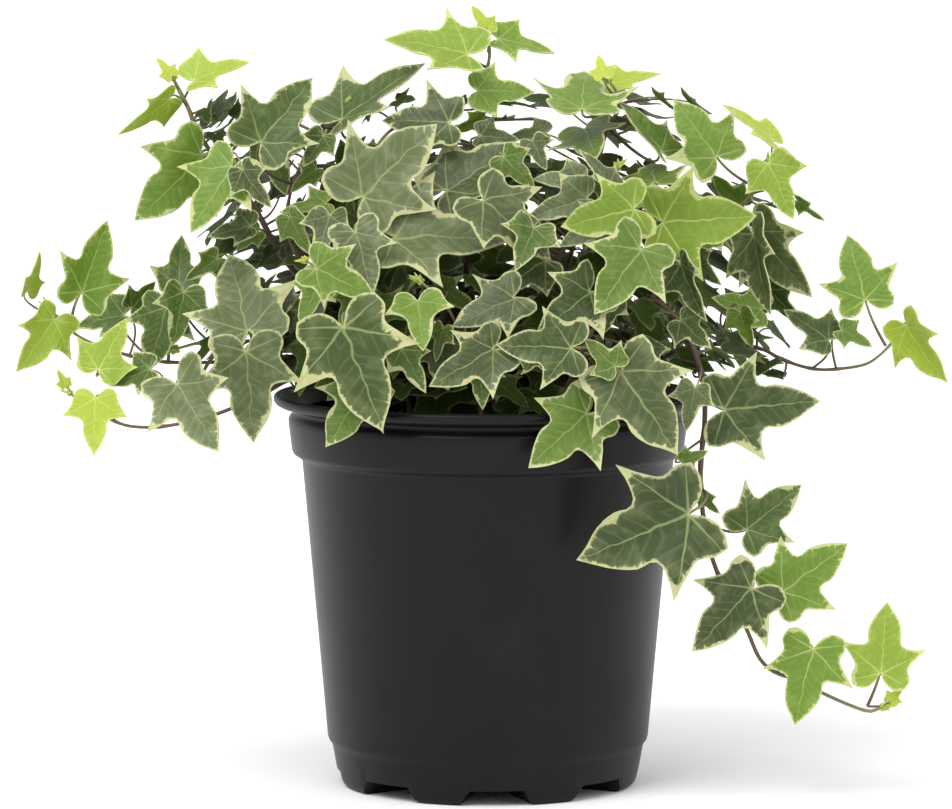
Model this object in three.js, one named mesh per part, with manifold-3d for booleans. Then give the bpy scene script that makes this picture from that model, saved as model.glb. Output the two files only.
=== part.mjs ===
// A variegated english ivy in a round nursery pot, in millimetres, +Z up.
// The origin is the middle of the pot's base, on the surface that it stands on, and -Y is the front.
import * as THREE from "three";
import { mergeVertices } from "three/addons/utils/BufferGeometryUtils.js";
import Module from "manifold-3d";

const wasm = await Module();
wasm.setup();

// Pot.
const LIP_RADIUS = 82.5;
const POT_HEIGHT = 151;
const WALL = 1.2;
const FOOT_RADIUS = 55;
const POT_SIDES = 32;
const NOTCHES = 8;
const NOTCH_HEIGHT = 6;
const NOTCH_ROOT_RADIUS = 22;
const NOTCH_FOOT_DEGREES = 14.8;
const NOTCH_ROOF_DEGREES = 10.4;
const NOTCH_TURN_DEGREES = 3.3;
const DRAIN_LENGTH = 9;
const DRAIN_WIDTH = 8;
const DRAIN_RADIUS = 47;

// The pot's outer and inner faces from the floor up: [radius, height].
const POT_OUTSIDE = [
  [FOOT_RADIUS, 0],
  [FOOT_RADIUS + 3, 3],
  [60, 14],
  [62, 18],
  [71.6, 126],
  [75.5, 129],
  [77, 141.5],
  [75, 143.5],
  [75.4, 145.8],
  [80.6, 147],
  [LIP_RADIUS, 149],
  [LIP_RADIUS - 0.7, POT_HEIGHT],
];
const POT_INSIDE = [
  [FOOT_RADIUS - WALL, WALL],
  [60.8, 18],
  [70.4, 126],
  [75.6, 131],
  [75.6, 140.5],
  [73.6, 144],
  [79.6, POT_HEIGHT + 1],
];

// Soil and the clearance between neighbours.
const GAP = 0.3;
const SOIL_TOP = 138;
const SOIL_LUMP = 1.6;
const SOIL_SIDES = 20;
const SOIL_INSET = 0.8;
const STEM_DEPTH = 18;
const HOLE_SIDES = 6;

// Leaves and stalks.
const BLADE_THICKNESS = 0.9;
const STEM_SIDES = 4;
const STEM_STEP = 12.5;
const LOWEST_JOINT = 9;
const STALK_RADIUS = 0.65;
const LEAF_CLEARANCE = 0.35;
const LOBED_LENGTH = 24;
const LEAF_SPREAD = 1.04;

// Fused faces with a side or a height below these are closed up.
const SHORTEST_SIDE = 0.03;
const LOWEST_HEIGHT = 0.004;

// The point in front of the plant that the places below are sighted from.
const EYE = new THREE.Vector3(-4.6, -1950, 345.6);

// Half of a leaf's outline for a leaf 1 long, from the stalk round to the tip: [across, along].
const FIVE_LOBED_HALF = [
  [0.35, -0.18],
  [0.39, 0.07],
  [0.56, 0.37],
  [0.25, 0.43],
];
const THREE_LOBED_HALF = [
  [0.3, -0.15],
  [0.5, 0.3],
  [0.23, 0.43],
];

// How far a leaf that would touch another slides along the line of sight, in the order tried.
const SLIDES = [0, -3, 3, -6, 6, -9, 9, -13, 13, -17, 17, -22, 22, -28, 28];

// Vines. A root is [x, y] in the soil. A route continues it with [x, depth, z] and a leaf is
// [stalk x, stalk z, tip x, tip z, depth, tip depth - stalk depth, roll in degrees, age 0 to 1],
// where x and z are as sighted on the upright plane through the pot's axis and depth is y.
// fill is [count, from, to, shortest, longest]: leaves set by rule along that stretch of the stem.
const VINES = [
  {
    name: "vine_left_low",
    girth: 2.4,
    root: [-46, -16],
    route: [
      [-56, -20, 156],
      [-66, -22, 159],
      [-77, -24, 156],
      [-88, -26, 150],
      [-104, -27, 143],
      [-123, -28, 138.3],
      [-137, -28, 138],
      [-146, -26, 141],
      [-155, -24, 146],
      [-161, -22, 151],
    ],
    leaves: [
      [-93, 167, -90.5, 131.5, -44, -3, 0, 0.92],
      [-119.5, 154.5, -104.5, 129, -52, -16, -4, 0.78],
      [-151, 149, -152, 126.5, -38, -4, 0, 0.12],
      [-130, 160, -147, 155, -30, 4, 35, 0.75],
      [-162.5, 154, -165.5, 160, -22, 0, 20, 0.05],
    ],
    fill: [0, 0.4, 0.9, 16, 24],
  },
  {
    name: "vine_left_mid",
    girth: 2.4,
    root: [-52, 8],
    route: [
      [-60, 6, 160],
      [-76, 4, 165],
      [-100, 0, 163],
      [-125, -4, 163],
      [-140, -8, 166],
      [-156, -10, 172],
      [-164, -10, 179],
      [-169, -10, 184],
    ],
    leaves: [
      [-156, 190, -145.5, 217.5, -16, 4, 30, 0.42],
      [-177, 190.5, -170.5, 205, -10, 0, 62, 0.2],
      [-167, 179.5, -180.5, 158.5, -18, -4, -32, 0.3],
      [-140, 181, -159, 177, 2, 8, 45, 0.7],
      [-150, 160, -139, 180, -26, 6, -8, 0.25],
      [-123.5, 184, -131, 160, -12, -6, 8, 0.75],
      [-137, 184, -127, 194, 4, 6, 20, 0.7],
    ],
    fill: [4, 0.35, 0.7, 18, 28],
  },
  {
    name: "vine_left_grey",
    girth: 2.6,
    root: [-57, -4],
    route: [
      [-66, -8, 162],
      [-80, -11, 170],
      [-96, -13, 171],
      [-108, -13, 171],
      [-120, -12, 168],
    ],
    leaves: [
      [-92, 175, -100, 206, -36, 24, 0, 0.95],
      [-119, 192.5, -117.5, 212.5, -6, 11, 0, 0.65],
      [-104, 203, -116, 194, -12, -2, -20, 0.55],
      [-117, 190, -121, 169, -20, -3, -12, 0.7],
    ],
    fill: [3, 0.3, 0.9, 20, 30],
  },
  {
    name: "vine_left_tall",
    girth: 3.2,
    root: [-36, 26],
    route: [
      [-50, 20, 165],
      [-66, 12, 188],
      [-76, 8, 200],
      [-82, 6, 208],
      [-87, 4, 218],
      [-96, 2, 232],
      [-107, 0, 245],
      [-112, 0, 253],
      [-114.5, 0, 260],
      [-117.5, 0, 266],
      [-120.5, 0, 272],
    ],
    leaves: [
      [-112.5, 271, -92, 280, -2, 2, -50, 0.2],
      [-121, 273, -126.5, 280, 0, 0, 35, 0.08],
      [-122, 264, -141, 249.5, -6, -3, -58, 0.25],
      [-110, 243, -134, 216.5, -14, -6, -20, 0.5],
      [-98, 238, -115, 214, -26, -8, 24, 0.45],
      [-91, 215, -108, 212, -8, 4, 42, 0.85],
      [-88, 213, -97, 206, 2, 0, 30, 0.5],
      [-94, 237, -84, 222, -14, -4, 20, 0.9],
    ],
    fill: [4, 0.3, 0.62, 20, 30],
  },
  {
    name: "vine_left_twig",
    girth: 2.4,
    root: [-26, 4],
    route: [
      [-44, 0, 170],
      [-62, -4, 190],
      [-72, -4, 202],
      [-77, 0, 214],
      [-76, 4, 227],
      [-72, 8, 238],
      [-66, 10, 250],
      [-60, 10, 258],
      [-56, 10, 261],
    ],
    leaves: [
      [-87, 247.5, -67, 272.5, -16, 8, -6, 0.7],
      [-83, 246, -78, 228.5, -4, -14, 0, 0.65],
      [-63, 250, -71, 238, -14, -2, 0, 0.75],
      [-66, 237, -76, 228.5, -2, 0, 30, 0.6],
      [-62, 224, -80, 221, -12, 0, 50, 0.5],
      [-76, 219, -68, 203, -16, -4, 40, 0.5],
    ],
    fill: [4, 0.3, 0.7, 20, 30],
  },
  {
    name: "vine_centre_left",
    girth: 2.6,
    root: [-16, -20],
    route: [
      [-24, -26, 165],
      [-32, -29, 192],
      [-38, -28, 215],
      [-42, -24, 232],
      [-42, -16, 246],
      [-34, -10, 254],
      [-22, -8, 256],
    ],
    leaves: [
      [-48, 226.5, -19, 255, -46, 10, 0, 1],
      [-51, 213, -44, 189.5, -57, -9, 0, 1],
      [-36, 211, 8, 213, -50, 2, -40, 0.95],
      [-15, 255, -41, 257, -14, 4, 30, 0.9],
      [-16, 229, 15, 249, -34, 6, -42, 0.95],
      [-56, 256, -25, 279, 6, 6, -60, 0.7],
    ],
    fill: [5, 0.25, 0.8, 22, 32],
  },
  {
    name: "vine_top",
    girth: 2.6,
    root: [-3, 10],
    route: [
      [-8, 12, 175],
      [-8, 12, 205],
      [-5, 11, 235],
      [-2.5, 10, 255],
      [-3, 10, 262],
      [-1.5, 10, 271],
      [0.5, 10, 280],
      [0, 10, 288],
    ],
    leaves: [
      [-8, 281, -39.5, 289.5, 0, 2, 46, 0.35],
      [0, 290, -6, 300, 8, 0, 20, 0.1],
      [4, 287, 26, 282.5, 10, 2, -55, 0.4],
      [-4, 267, 18, 267, -2, 2, -30, 0.5],
      [-3, 250, 12, 249, -8, 0, -30, 0.9],
      [-2, 256.5, -14, 251, -4, 0, -30, 0.45],
    ],
    fill: [6, 0.2, 0.62, 22, 32],
  },
  {
    name: "vine_top_right",
    girth: 2.4,
    root: [17, 16],
    route: [
      [24, 14, 172],
      [32, 13, 205],
      [40, 11, 232],
      [46, 8, 253],
      [50, 6, 260],
      [49, 4, 267],
      [46, 3, 271],
    ],
    leaves: [
      [36, 260, 37, 276, -4, 30, 0, 0.5],
      [44, 272.5, 42, 281.5, 0, 5, 0, 0.08],
      [66, 244, 51, 265, -8, 6, 62, 0.6],
      [37, 252.5, 41, 243, 6, -26, 0, 0.6],
      [22, 251, 8, 250, 8, 2, 45, 1],
      [17, 248, 22, 237.5, -18, -8, 0, 0.85],
      [46.5, 269.5, 66, 275.5, 3, 4, -60, 0.25],
    ],
    fill: [6, 0.2, 0.7, 22, 32],
  },
  {
    name: "vine_centre_right",
    girth: 2.4,
    root: [12, -16],
    route: [
      [16, -21, 166],
      [22, -26, 190],
      [30, -30, 208],
      [39, -31, 220],
      [47, -28, 230],
      [50, -22, 238],
    ],
    leaves: [
      [-2, 225, 25, 204, -52, -6, -42, 0.95],
      [56, 222, 28, 215, -62, -2, 0, 0.3],
      [38, 226, 14.5, 219, -44, 0, 20, 1],
      [46, 217, 27, 208, -52, -2, 20, 1],
      [35, 232, 17, 234, -34, 0, 42, 1],
      [6, 242, 18, 230, -28, -4, 0, 0.6],
      [47, 231, 33.5, 232, -38, 0, 0, 0.8],
      [47, 231, 36, 246, -32, 4, 58, 0.9],
      [22, 202, 2, 189, -42, -4, 20, 0.85],
    ],
    fill: [3, 0.25, 0.7, 22, 30],
  },
  {
    name: "vine_right_up",
    girth: 2.8,
    root: [34, -2],
    route: [
      [46, 0, 165],
      [62, 1, 190],
      [78, 0, 206],
      [89, -2, 215],
      [97, -4, 223],
      [103, -6, 230],
      [107, -8, 238],
    ],
    leaves: [
      [87.5, 242, 71, 264.5, -12, 4, 5, 0.5],
      [108.5, 248.5, 91, 263.5, -10, 2, 70, 0.25],
      [107.5, 239.5, 117, 218, -22, -6, 0, 0.4],
      [119, 225, 129, 217, -10, 0, 62, 0.5],
      [97, 223.5, 85, 235, 0, 2, -20, 0.5],
      [103, 213.5, 123, 187, -20, -6, 35, 0.95],
      [102, 212, 107, 181, -26, -8, 62, 0.95],
      [67, 217, 103, 219, -44, -4, 10, 0.35],
      [64, 232, 62, 242, -24, 24, 0, 0.65],
      [88, 212, 80, 203.5, -14, 0, 20, 0.5],
    ],
    fill: [4, 0.2, 0.6, 22, 30],
  },
  {
    name: "vine_right_reach",
    girth: 2.4,
    root: [50, 14],
    route: [
      [60, 13, 160],
      [75, 10, 168],
      [92, 6, 170],
      [105, 2, 168],
      [112, 0, 164.5],
      [120, -2, 161.5],
      [128, -4, 160],
      [137, -5, 160.5],
      [145, -6, 162],
      [150, -6, 165],
      [155, -6, 170],
      [157, -6, 174],
    ],
    leaves: [
      [105, 183, 86, 188, -6, -4, 20, 0.5],
      [97, 182, 101, 168, -14, 0, 30, 0.5],
      [108, 191, 121, 177, -4, -2, 40, 0.8],
      [131, 171.5, 114, 184, -10, 4, 35, 0.8],
      [136, 175, 148, 169, -12, -2, -30, 0.6],
      [145, 187, 138, 212.5, -8, 6, 0, 0.4],
      [161, 177, 175, 154, -14, -6, 50, 0.25],
    ],
    fill: [4, 0.25, 0.55, 20, 28],
  },
  {
    name: "vine_right_trail",
    girth: 3,
    root: [46, -28],
    route: [
      [54, -33, 168],
      [62, -37, 186],
      [69, -40, 183],
      [76, -42, 174],
      [80, -43, 165],
      [83, -43, 154],
      [83.5, -42, 140],
      [82, -42, 122],
      [83, -42, 104],
      [86, -42, 89],
      [91, -42, 76],
      [97, -42, 66],
      [101, -42, 57],
      [105, -42, 48],
      [110, -42, 43],
      [117, -42, 40],
      [124, -42, 37],
      [131, -42, 33.5],
      [140, -42, 29.5],
      [148, -42, 27],
      [153, -42, 29],
    ],
    leaves: [
      [91, 144.5, 128, 147.5, -52, -4, 0, 0.97],
      [75, 124.5, 85, 128.5, -62, 0, 0, 0.5],
      [80, 153, 76, 136, -60, -2, 25, 1],
      [77.5, 104, 34.5, 85.5, -74, -2, 0, 0.85],
      [100, 98, 121.5, 115.5, -42, 4, 0, 0.7],
      [114, 74, 139, 92.5, -52, 0, 0, 0.38],
      [102, 75, 79.5, 50, -62, -4, 0, 0.8],
      [125.5, 51.5, 119, 21.5, -52, -4, 4, 0.35],
      [152, 42, 155, 70, -46, 4, 8, 0.25],
      [156, 31, 161, 37.5, -42, 0, 0, 0.1],
      [83, 111, 89, 103.5, -50, 0, 30, 0.6],
      [74, 201, 82, 178, -50, -6, 52, 0.8],
      [77, 205, 89, 192, -44, -2, 35, 0.9],
      [74, 179, 86, 168, -52, -4, 0, 0.75],
    ],
    fill: [0, 0.3, 0.7, 16, 24],
  },
  {
    name: "vine_front_left",
    girth: 2.4,
    root: [-30, -42],
    route: [
      [-37, -48, 158],
      [-45, -54, 175],
      [-53, -58, 188],
      [-62, -58, 197],
      [-70, -54, 202],
    ],
    leaves: [
      [-55.5, 176.5, -41, 136.5, -84, -6, 0, 0.85],
      [-47, 153, -62.5, 130, -76, -4, 0, 0.6],
      [-52, 189, -57, 177, -64, -2, 0, 0.6],
      [-66, 199, -43, 188, -66, -2, -28, 0.5],
      [-64, 195, -73, 177, -58, -4, 22, 0.45],
      [-33, 168, -24, 151, -76, -4, 0, 0.7],
    ],
    fill: [2, 0.3, 0.8, 20, 26],
  },
  {
    name: "vine_front_middle",
    girth: 2.2,
    root: [-3, -52],
    route: [
      [-6, -57, 156],
      [-10, -61, 172],
      [-17, -63, 186],
      [-26, -62, 194],
    ],
    leaves: [
      [-27, 186.5, -25, 168, -74, -16, 0, 0.5],
      [2, 168, -22, 153.5, -82, -6, 0, 0.85],
      [-17, 176, -21, 163, -68, 0, 40, 0.6],
      [-3, 162, -2, 144.5, -76, -4, 0, 0.7],
      [10, 188, -14, 177, -62, -4, 30, 0.9],
    ],
    fill: [2, 0.3, 0.8, 20, 26],
  },
  {
    name: "vine_front_right",
    girth: 2.4,
    root: [27, -46],
    route: [
      [32, -52, 157],
      [39, -56, 173],
      [47, -58, 188],
      [53, -54, 200],
    ],
    leaves: [
      [51.5, 159.5, 73, 127, -84, -6, 0, 0.9],
      [38, 143, 16, 122, -80, -8, 0, 0.6],
      [32, 168.5, 3, 169.5, -88, 2, 0, 0.8],
      [39, 190, 20, 174, -76, -16, 0, 0.8],
      [48, 187, 44.5, 174, -72, -4, 0, 0.8],
      [49, 161, 37, 172, -70, 0, 0, 0.6],
      [58.5, 206.5, 41, 181.5, -66, -10, 0, 0.5],
    ],
    fill: [2, 0.3, 0.8, 20, 26],
  },
  {
    name: "vine_rear_left",
    girth: 2.8,
    root: [-14, 34],
    route: [
      [-20, 38, 170],
      [-30, 44, 195],
      [-42, 48, 215],
      [-56, 46, 228],
    ],
    leaves: [],
    fill: [11, 0.25, 1, 22, 36],
  },
  {
    name: "vine_rear_right",
    girth: 2.8,
    root: [16, 38],
    route: [
      [22, 42, 170],
      [32, 46, 195],
      [46, 48, 215],
      [62, 44, 224],
    ],
    leaves: [],
    fill: [11, 0.25, 1, 22, 36],
  },
  {
    name: "vine_back_left",
    girth: 2.6,
    root: [-36, 48],
    route: [
      [-44, 62, 166],
      [-52, 78, 170],
      [-58, 92, 158],
      [-58, 99, 138],
      [-52, 100, 112],
      [-44, 100, 88],
    ],
    leaves: [],
    fill: [11, 0.22, 1, 20, 36],
  },
  {
    name: "vine_back_middle",
    girth: 2.6,
    root: [2, 56],
    route: [
      [4, 70, 166],
      [6, 84, 174],
      [8, 98, 166],
      [10, 106, 148],
      [12, 108, 124],
    ],
    leaves: [],
    fill: [10, 0.22, 1, 20, 36],
  },
  {
    name: "vine_back_right",
    girth: 2.6,
    root: [38, 46],
    route: [
      [46, 60, 166],
      [54, 76, 172],
      [60, 90, 160],
      [60, 98, 140],
      [54, 100, 116],
      [46, 100, 94],
      [40, 98, 74],
    ],
    leaves: [],
    fill: [11, 0.22, 1, 20, 36],
  },
];

// Colours and finishes.
const POT_FINISH = { color: 0x2b2b2b, roughness: 0.45, metalness: 0 };
const SOIL_FINISH = { color: 0x2e2019, roughness: 0.95, metalness: 0 };
const VINE_FINISH = { color: 0x7c9663, roughness: 0.55, metalness: 0 };

const radians = THREE.MathUtils.degToRad;
const up = new THREE.Vector3(0, 0, 1);

// A repeatable row of numbers from 0 to 1.
function stream(seed) {
  let state = seed;
  const next = () => {
    state = (state * 1664525 + 1013904223) % 4294967296;
    return state / 4294967296;
  };
  next();
  next();
  return next;
}

function solidFrom(geometry) {
  const bare = new THREE.BufferGeometry();
  bare.setAttribute("position", geometry.getAttribute("position"));
  bare.setIndex(geometry.getIndex());
  const merged = mergeVertices(bare, 1e-4);
  const mesh = new wasm.Mesh({
    numProp: 3,
    vertProperties: merged.attributes.position.array,
    triVerts: new Uint32Array(merged.index.array),
  });
  return new wasm.Manifold(mesh);
}

// A triangle's shortest and longest side, each with the corner that faces it, and its height.
function measured(points, [a, b, c]) {
  const sides = [[a, b, c], [b, c, a], [c, a, b]].map(([from, to, far]) => {
    return { from, to, far, length: points[from].distanceTo(points[to]) };
  });
  sides.sort((one, other) => one.length - other.length);
  const area = new THREE.Triangle(points[a], points[b], points[c]).getArea();
  return { shortest: sides[0], longest: sides[2], height: (2 * area) / sides[2].length };
}

function neighboursOf(faces, corner) {
  const around = faces.filter((face) => face.includes(corner)).flat();
  return new Set(around.filter((other) => other !== corner));
}

// Draws the two ends of a short side together.
function closedUp(faces, { from, to }) {
  const near = neighboursOf(faces, from);
  const shared = [...neighboursOf(faces, to)].filter((corner) => near.has(corner));
  if (shared.length !== 2) return null;
  const kept = faces.filter((face) => !(face.includes(from) && face.includes(to)));
  return kept.map((face) => face.map((corner) => (corner === to ? from : corner)));
}

// Turns the long side of a flat triangle onto the corner beyond it.
function turnedOver(points, faces, face, height, { from, to, far }) {
  const other = faces.find((f) => f !== face && f.includes(from) && f.includes(to));
  const beyond = other.find((corner) => corner !== from && corner !== to);
  if (neighboursOf(faces, far).has(beyond)) return null;
  const turned = [[far, from, beyond], [far, beyond, to]];
  if (!turned.every((f) => measured(points, f).height > height)) return null;
  return [...faces.filter((f) => f !== face && f !== other), ...turned];
}

function mendedOnce(points, faces) {
  for (const face of faces) {
    const { shortest, longest, height } = measured(points, face);
    const closed = shortest.length < SHORTEST_SIDE ? closedUp(faces, shortest) : null;
    if (closed) return closed;
    const turned = height < LOWEST_HEIGHT ? turnedOver(points, faces, face, height, longest) : null;
    if (turned) return turned;
  }
  return null;
}

// Fusing leaves slivers where surfaces only just cross: they go, and the shape stays.
function withoutSlivers({ vertProperties, triVerts }) {
  const points = [];
  for (let i = 0; i < vertProperties.length; i += 3) {
    points.push(new THREE.Vector3().fromArray(vertProperties, i));
  }
  let faces = [];
  for (let i = 0; i < triVerts.length; i += 3) {
    faces.push([...triVerts.subarray(i, i + 3)]);
  }
  for (let mended = faces; mended; mended = mendedOnce(points, faces)) {
    faces = mended;
  }
  return faces.flat().flatMap((corner) => points[corner].toArray());
}

function meshFrom(solid, name, finish) {
  const positions = withoutSlivers(solid.getMesh());
  const geometry = new THREE.BufferGeometry();
  geometry.setAttribute("position", new THREE.Float32BufferAttribute(positions, 3));
  geometry.computeVertexNormals();
  const mesh = new THREE.Mesh(geometry, new THREE.MeshStandardMaterial(finish));
  mesh.name = name;
  return mesh;
}

// A solid from rings of points, each ring joined to the next and both ends closed.
function ringSolid(rings) {
  const sides = rings[0].length;
  const positions = rings.flat().flatMap((p) => p.toArray());
  const index = [];
  for (let r = 0; r + 1 < rings.length; r++) {
    for (let i = 0; i < sides; i++) {
      const a = r * sides + i;
      const b = r * sides + ((i + 1) % sides);
      index.push(a, b, b + sides, a, b + sides, a + sides);
    }
  }
  const last = (rings.length - 1) * sides;
  for (let i = 1; i + 1 < sides; i++) {
    index.push(0, i + 1, i, last, last + i, last + i + 1);
  }
  const geometry = new THREE.BufferGeometry();
  geometry.setAttribute("position", new THREE.Float32BufferAttribute(positions, 3));
  geometry.setIndex(index);
  return solidFrom(geometry);
}

// A tapering tube along a curve, its rings set square to the curve without twisting.
function tubeSolid(curve, steps, sides, radiusAt) {
  const frames = curve.computeFrenetFrames(steps, false);
  const rings = [];
  for (let s = 0; s <= steps; s++) {
    const centre = curve.getPointAt(s / steps);
    const ring = [];
    for (let i = 0; i < sides; i++) {
      const angle = (2 * Math.PI * i) / sides;
      const point = centre.clone();
      point.addScaledVector(frames.normals[s], radiusAt(s / steps) * Math.cos(angle));
      point.addScaledVector(frames.binormals[s], radiusAt(s / steps) * Math.sin(angle));
      ring.push(point);
    }
    rings.push(ring);
  }
  return ringSolid(rings);
}

// Pot: a lathed shell whose floor is folded up into eight radial channels that end in drain notches.
function lathed(profile, sides) {
  const points = profile.map(([r, z]) => new THREE.Vector2(r, z));
  points.unshift(new THREE.Vector2(0, profile[0][1]));
  points.push(new THREE.Vector2(0, profile[profile.length - 1][1]));
  const lathe = new THREE.LatheGeometry(points, sides);
  return lathe.rotateX(Math.PI / 2);
}

// One radial channel under the floor, grown by a margin on its roof and sides.
function channel(angle, margin) {
  const ring = (radius) => {
    const spread = (margin / radius) * (180 / Math.PI);
    const foot = radians(NOTCH_FOOT_DEGREES + spread);
    const roof = radians(NOTCH_ROOF_DEGREES + spread);
    const at = (turn, z) => {
      const p = new THREE.Vector3(radius, 0, z);
      return p.applyAxisAngle(up, angle + turn);
    };
    const high = NOTCH_HEIGHT + margin;
    return [at(-foot, -1), at(foot, -1), at(roof, high), at(-roof, high)];
  };
  return ringSolid([ring(NOTCH_ROOT_RADIUS - margin), ring(FOOT_RADIUS + 12)]);
}

function drainSlot(angle) {
  const slot = new THREE.BoxGeometry(DRAIN_LENGTH, DRAIN_WIDTH, 20);
  slot.translate(DRAIN_RADIUS, 0, 6);
  slot.rotateZ(angle);
  return solidFrom(slot);
}

function makePot() {
  let outside = solidFrom(lathed(POT_OUTSIDE, POT_SIDES));
  let inside = solidFrom(lathed(POT_INSIDE, POT_SIDES));
  for (let i = 0; i < NOTCHES; i++) {
    const angle = radians(-90 + NOTCH_TURN_DEGREES + (360 / NOTCHES) * i);
    outside = outside.subtract(channel(angle, 0));
    inside = inside.subtract(channel(angle, WALL));
  }
  let pot = outside.subtract(inside);
  for (let i = 0; i < NOTCHES; i++) {
    const angle = radians(-90 + NOTCH_TURN_DEGREES + (360 / NOTCHES) * i);
    pot = pot.subtract(drainSlot(angle));
  }
  return pot;
}

// Soil: a plug that follows the pot's wall, resting on the channels' roofs, with a lumpy top.
function makeSoil(stems) {
  const floor = NOTCH_HEIGHT + WALL + GAP;
  const wall = POT_INSIDE.filter(([r, z]) => z > floor && z < SOIL_TOP);
  const side = [[56, floor], ...wall, [75.6, SOIL_TOP]].map(([r, z]) => [r - SOIL_INSET, z]);
  const top = [0.62, 0.3].map((share) => [75.6 * share, SOIL_TOP]);
  const lathe = lathed([...side, ...top], SOIL_SIDES);
  lathe.deleteAttribute("normal");
  lathe.deleteAttribute("uv");
  const plug = mergeVertices(lathe, 1e-3);
  const place = plug.getAttribute("position");
  const lump = stream(11);
  for (let i = 0; i < place.count; i++) {
    if (place.getZ(i) < SOIL_TOP - 0.5) continue;
    place.setZ(i, SOIL_TOP + SOIL_LUMP * (lump() - 0.5) * 2);
  }
  let soil = solidFrom(plug);
  for (const stem of stems) {
    const radius = stem.rootRadius + 2 * GAP;
    const hole = new THREE.CylinderGeometry(radius, radius, 60, HOLE_SIDES);
    hole.rotateX(Math.PI / 2);
    hole.translate(stem.root[0], stem.root[1], SOIL_TOP - STEM_DEPTH - GAP + 30);
    soil = soil.subtract(solidFrom(hole));
  }
  return soil;
}

// The true place of a point sighted at x and z on the plane through the pot's axis.
function sighted(x, depth, z) {
  const share = (depth - EYE.y) / -EYE.y;
  return new THREE.Vector3(x, 0, z).sub(EYE).multiplyScalar(share).add(EYE);
}

// Stems.
function stemCurve(vine) {
  const [x, y] = vine.root;
  const foot = [-STEM_DEPTH, -8, 4, 13].map((h) => new THREE.Vector3(x, y, SOIL_TOP + h));
  const rest = vine.route.map(([sx, depth, sz]) => sighted(sx, depth, sz));
  return new THREE.CatmullRomCurve3([...foot, ...rest], false, "catmullrom", 0.5);
}

// Places along the middle of a stem's straight lengths, where stalks can start.
function stemJoints(curve, steps) {
  const centres = curve.getSpacedPoints(steps);
  return centres.slice(1).flatMap((end, i) =>
    [0.25, 0.5, 0.75, 1].map((share) => centres[i].clone().lerp(end, share)),
  );
}

function makeStem(vine) {
  const curve = stemCurve(vine);
  const radiusAt = (share) => (vine.girth / 2) * (1 - 0.5 * share);
  const steps = Math.round(curve.getLength() / STEM_STEP);
  return {
    curve,
    joints: stemJoints(curve, steps),
    root: vine.root,
    rootRadius: vine.girth / 2,
    solid: tubeSolid(curve, steps, STEM_SIDES, radiusAt),
  };
}

// Leaves. A leaf is its stalk's end, its length, three square directions and how it is bent.
function leafPose(base, tip, roll, age, draw) {
  const along = tip.clone().sub(base);
  const length = along.length();
  along.normalize();
  const facing = new THREE.Vector3(0, -1, 0);
  facing.addScaledVector(along, -facing.dot(along)).normalize();
  facing.applyAxisAngle(along, radians(roll));
  const across = along.clone().cross(facing);
  return { base, length, along, facing, across, age, ...leafBend(draw) };
}

function leafBend(draw) {
  return {
    spread: LEAF_SPREAD * (0.94 + 0.12 * draw()),
    fold: 0.06 + 0.24 * draw(),
    droop: 0.03 + 0.12 * draw(),
    wave: 0.02 + 0.03 * draw(),
    phase: 6.28 * draw(),
  };
}

function leafPoint(leaf, across, along) {
  const u = across * leaf.spread;
  const bend = leaf.droop * along * Math.abs(along);
  const ripple = leaf.wave * Math.sin(9 * u + 4 * along + leaf.phase) * Math.min(1, 3 * Math.abs(u));
  const lift = leaf.fold * Math.abs(u) - bend + ripple;
  const point = leaf.base.clone();
  point.addScaledVector(leaf.across, u * leaf.length);
  point.addScaledVector(leaf.along, along * leaf.length);
  return point.addScaledVector(leaf.facing, lift * leaf.length);
}

function bladeSolid(leaf, clearance) {
  const half = leaf.length > LOBED_LENGTH ? FIVE_LOBED_HALF : THREE_LOBED_HALF;
  const grow = 1 + (2 * clearance) / leaf.length;
  const left = half.map(([u, v]) => [-u, v]).reverse();
  const rim = [[0, 0], ...half, [0, 1], ...left];
  const middle = rim.map(([u, v]) => leafPoint(leaf, u * grow, 0.3 + (v - 0.3) * grow));
  const thick = BLADE_THICKNESS / 2 + clearance;
  const top = middle.map((p) => p.clone().addScaledVector(leaf.facing, thick));
  const under = middle.map((p) => p.clone().addScaledVector(leaf.facing, -thick));
  const count = rim.length;
  const index = [];
  for (let i = 1; i + 1 < count; i++) {
    index.push(0, i, i + 1, count, count + i + 1, count + i);
  }
  for (let i = 0; i < count; i++) {
    const j = (i + 1) % count;
    index.push(i, count + i, count + j, i, count + j, j);
  }
  const positions = [...top, ...under].flatMap((p) => p.toArray());
  const geometry = new THREE.BufferGeometry();
  geometry.setAttribute("position", new THREE.Float32BufferAttribute(positions, 3));
  geometry.setIndex(index);
  return solidFrom(geometry);
}

// The stalk leaves the stem at `start` and bows out before it meets the blade from behind.
function stalkCurve(leaf, start, bow) {
  const end = leafPoint(leaf, 0, 0.07);
  const reach = start.distanceTo(end);
  const knee = end.clone();
  knee.addScaledVector(leaf.along, -0.4 * reach);
  knee.addScaledVector(leaf.facing, -bow * reach);
  return new THREE.QuadraticBezierCurve3(start, knee, end);
}

function stalkSolid(leaf, start, bow, clearance) {
  const radius = STALK_RADIUS * (leaf.length > LOBED_LENGTH ? 1 : 0.8);
  const radiusAt = (share) => radius * (1 - 0.6 * Math.abs(2 * share - 1) ** 2) + clearance;
  return tubeSolid(stalkCurve(leaf, start, bow), 2, 3, radiusAt);
}

// Everything placed so far, to keep new leaves clear of it.
const placed = [];

function place(solid, stemOf = null) {
  placed.push({ solid, box: solid.boundingBox(), stemOf });
}

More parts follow.
